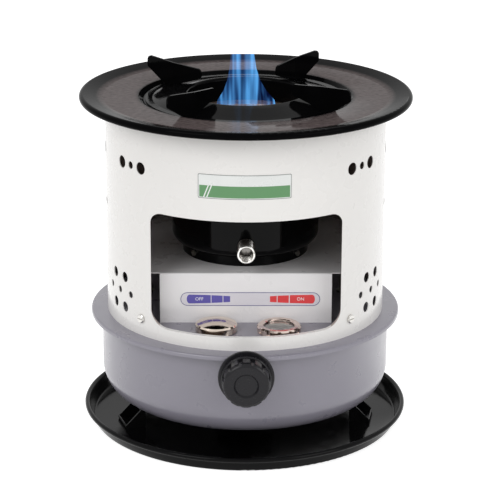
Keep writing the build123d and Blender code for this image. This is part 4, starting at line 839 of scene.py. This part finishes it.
class STOVE_OT_stage(bpy.types.Operator):
    """Floor, even light, lamps and the camera"""

    bl_idname = "stove.stage"
    bl_label = "Stage"

    def execute(self, context):
        sizes = stage_settings()
        mesh = bpy.data.meshes.new("floor")
        corners = [(-FLOOR_REACH, -FLOOR_REACH, 0), (FLOOR_REACH, -FLOOR_REACH, 0),
                   (FLOOR_REACH, FLOOR_REACH, 0), (-FLOOR_REACH, FLOOR_REACH, 0)]
        mesh.from_pydata(corners, [], [(0, 1, 2, 3)])
        material = bpy.data.materials.new("floor_white")
        material.use_nodes = True
        tree = material.node_tree
        tree.nodes.clear()
        output = tree.nodes.new("ShaderNodeOutputMaterial")
        matte = tree.nodes.new("ShaderNodeBsdfDiffuse")
        matte.inputs["Color"].default_value = (0.8, 0.8, 0.8, 1)
        glow = tree.nodes.new("ShaderNodeEmission")
        glow.inputs["Strength"].default_value = 0.75
        blend = tree.nodes.new("ShaderNodeMixShader")
        both = tree.nodes.new("ShaderNodeAddShader")
        tree.links.new(matte.outputs["BSDF"], both.inputs[0])
        tree.links.new(glow.outputs["Emission"], both.inputs[1])
        tree.links.new(seen_directly(tree), blend.inputs["Fac"])
        tree.links.new(matte.outputs["BSDF"], blend.inputs[1])
        tree.links.new(both.outputs["Shader"], blend.inputs[2])
        tree.links.new(blend.outputs["Shader"], output.inputs["Surface"])
        mesh.materials.append(material)
        floor = bpy.data.objects.new("floor", mesh)
        floor.location.z = -FLOOR_DROP
        bpy.context.scene.collection.objects.link(floor)

        world = bpy.data.worlds.new("studio")
        world.use_nodes = True
        tree = world.node_tree
        tree.nodes.clear()
        output = tree.nodes.new("ShaderNodeOutputWorld")
        even = white_background(tree, sizes.sky)
        white = white_background(tree, 1.0)
        blend = tree.nodes.new("ShaderNodeMixShader")
        tree.links.new(seen_directly(tree), blend.inputs["Fac"])
        tree.links.new(even.outputs["Background"], blend.inputs[1])
        tree.links.new(white.outputs["Background"], blend.inputs[2])
        tree.links.new(blend.outputs["Shader"], output.inputs["Surface"])
        context.scene.world = world
        context.scene.view_settings.view_transform = "Standard"

        lamp("key_lamp", (-1.3, -1.5, 1.5), sizes.key_power)
        lamp("fill_lamp", (1.5, -1.2, 1.0), sizes.fill_power)

        yaw, pitch, roll = CAMERA_YAW, CAMERA_PITCH, CAMERA_ROLL
        forward = Vector((sin(yaw) * cos(pitch), cos(yaw) * cos(pitch), -sin(pitch)))
        right = Vector((cos(yaw), -sin(yaw), 0))
        up = right.cross(forward)
        across = cos(roll) * right + sin(roll) * up
        upright = -sin(roll) * right + cos(roll) * up
        turn = Matrix((across, upright, -forward)).transposed().to_4x4()
        data = bpy.data.cameras.new("camera")
        data.sensor_width = SENSOR_WIDTH
        data.lens = sizes.lens
        data.clip_end = VIEW_REACH
        camera = bpy.data.objects.new("camera", data)
        camera.matrix_world = Matrix.Translation(CAMERA_PLACE) @ turn
        context.scene.collection.objects.link(camera)
        context.scene.camera = camera
        return {"FINISHED"}


ORDER = (
    STOVE_OT_black_enamel, STOVE_OT_casing, STOVE_OT_tank, STOVE_OT_tray, STOVE_OT_deck, STOVE_OT_burner,
    STOVE_OT_handle, STOVE_OT_cap, STOVE_OT_gauge, STOVE_OT_dial, STOVE_OT_wick, STOVE_OT_hardware,
    STOVE_OT_label, STOVE_OT_capsule, STOVE_OT_flame, STOVE_OT_stage,
)


class STOVE_PT_sidebar(bpy.types.Panel):
    """Lists the stove's pieces and their settings"""

    bl_label = "Kerosene Stove"
    bl_idname = "STOVE_PT_sidebar"
    bl_space_type = "VIEW_3D"
    bl_region_type = "UI"
    bl_category = "Stove"

    def draw(self, context):
        layout = self.layout
        for group in (context.scene.stove_colours, context.scene.stove_labels, context.scene.stove_stage):
            for name in group.__annotations__:
                layout.prop(group, name)
        for operator in ORDER:
            layout.operator(operator.bl_idname)


GROUPS = (StoveColours, StoveLabels, StoveStage)


def register():
    for group in GROUPS:
        bpy.utils.register_class(group)
    bpy.types.Scene.stove_colours = PointerProperty(type=StoveColours)
    bpy.types.Scene.stove_labels = PointerProperty(type=StoveLabels)
    bpy.types.Scene.stove_stage = PointerProperty(type=StoveStage)
    for operator in ORDER:
        bpy.utils.register_class(operator)
    bpy.utils.register_class(STOVE_PT_sidebar)


def unregister():
    bpy.utils.unregister_class(STOVE_PT_sidebar)
    for operator in reversed(ORDER):
        bpy.utils.unregister_class(operator)
    del bpy.types.Scene.stove_stage
    del bpy.types.Scene.stove_labels
    del bpy.types.Scene.stove_colours
    for group in reversed(GROUPS):
        bpy.utils.unregister_class(group)


def main():
    register()
    bpy.ops.stove.black_enamel()
    bpy.ops.stove.casing()
    bpy.ops.stove.tank()
    bpy.ops.stove.tray()
    bpy.ops.stove.deck()
    bpy.ops.stove.burner()
    bpy.ops.stove.handle()
    bpy.ops.stove.cap()
    bpy.ops.stove.gauge()
    bpy.ops.stove.dial()
    bpy.ops.stove.wick()
    bpy.ops.stove.hardware()
    bpy.ops.stove.label()
    bpy.ops.stove.capsule()
    bpy.ops.stove.flame()
    bpy.ops.stove.stage()
    bpy.context.view_layer.update()


if __name__ == "__main__":
    main()
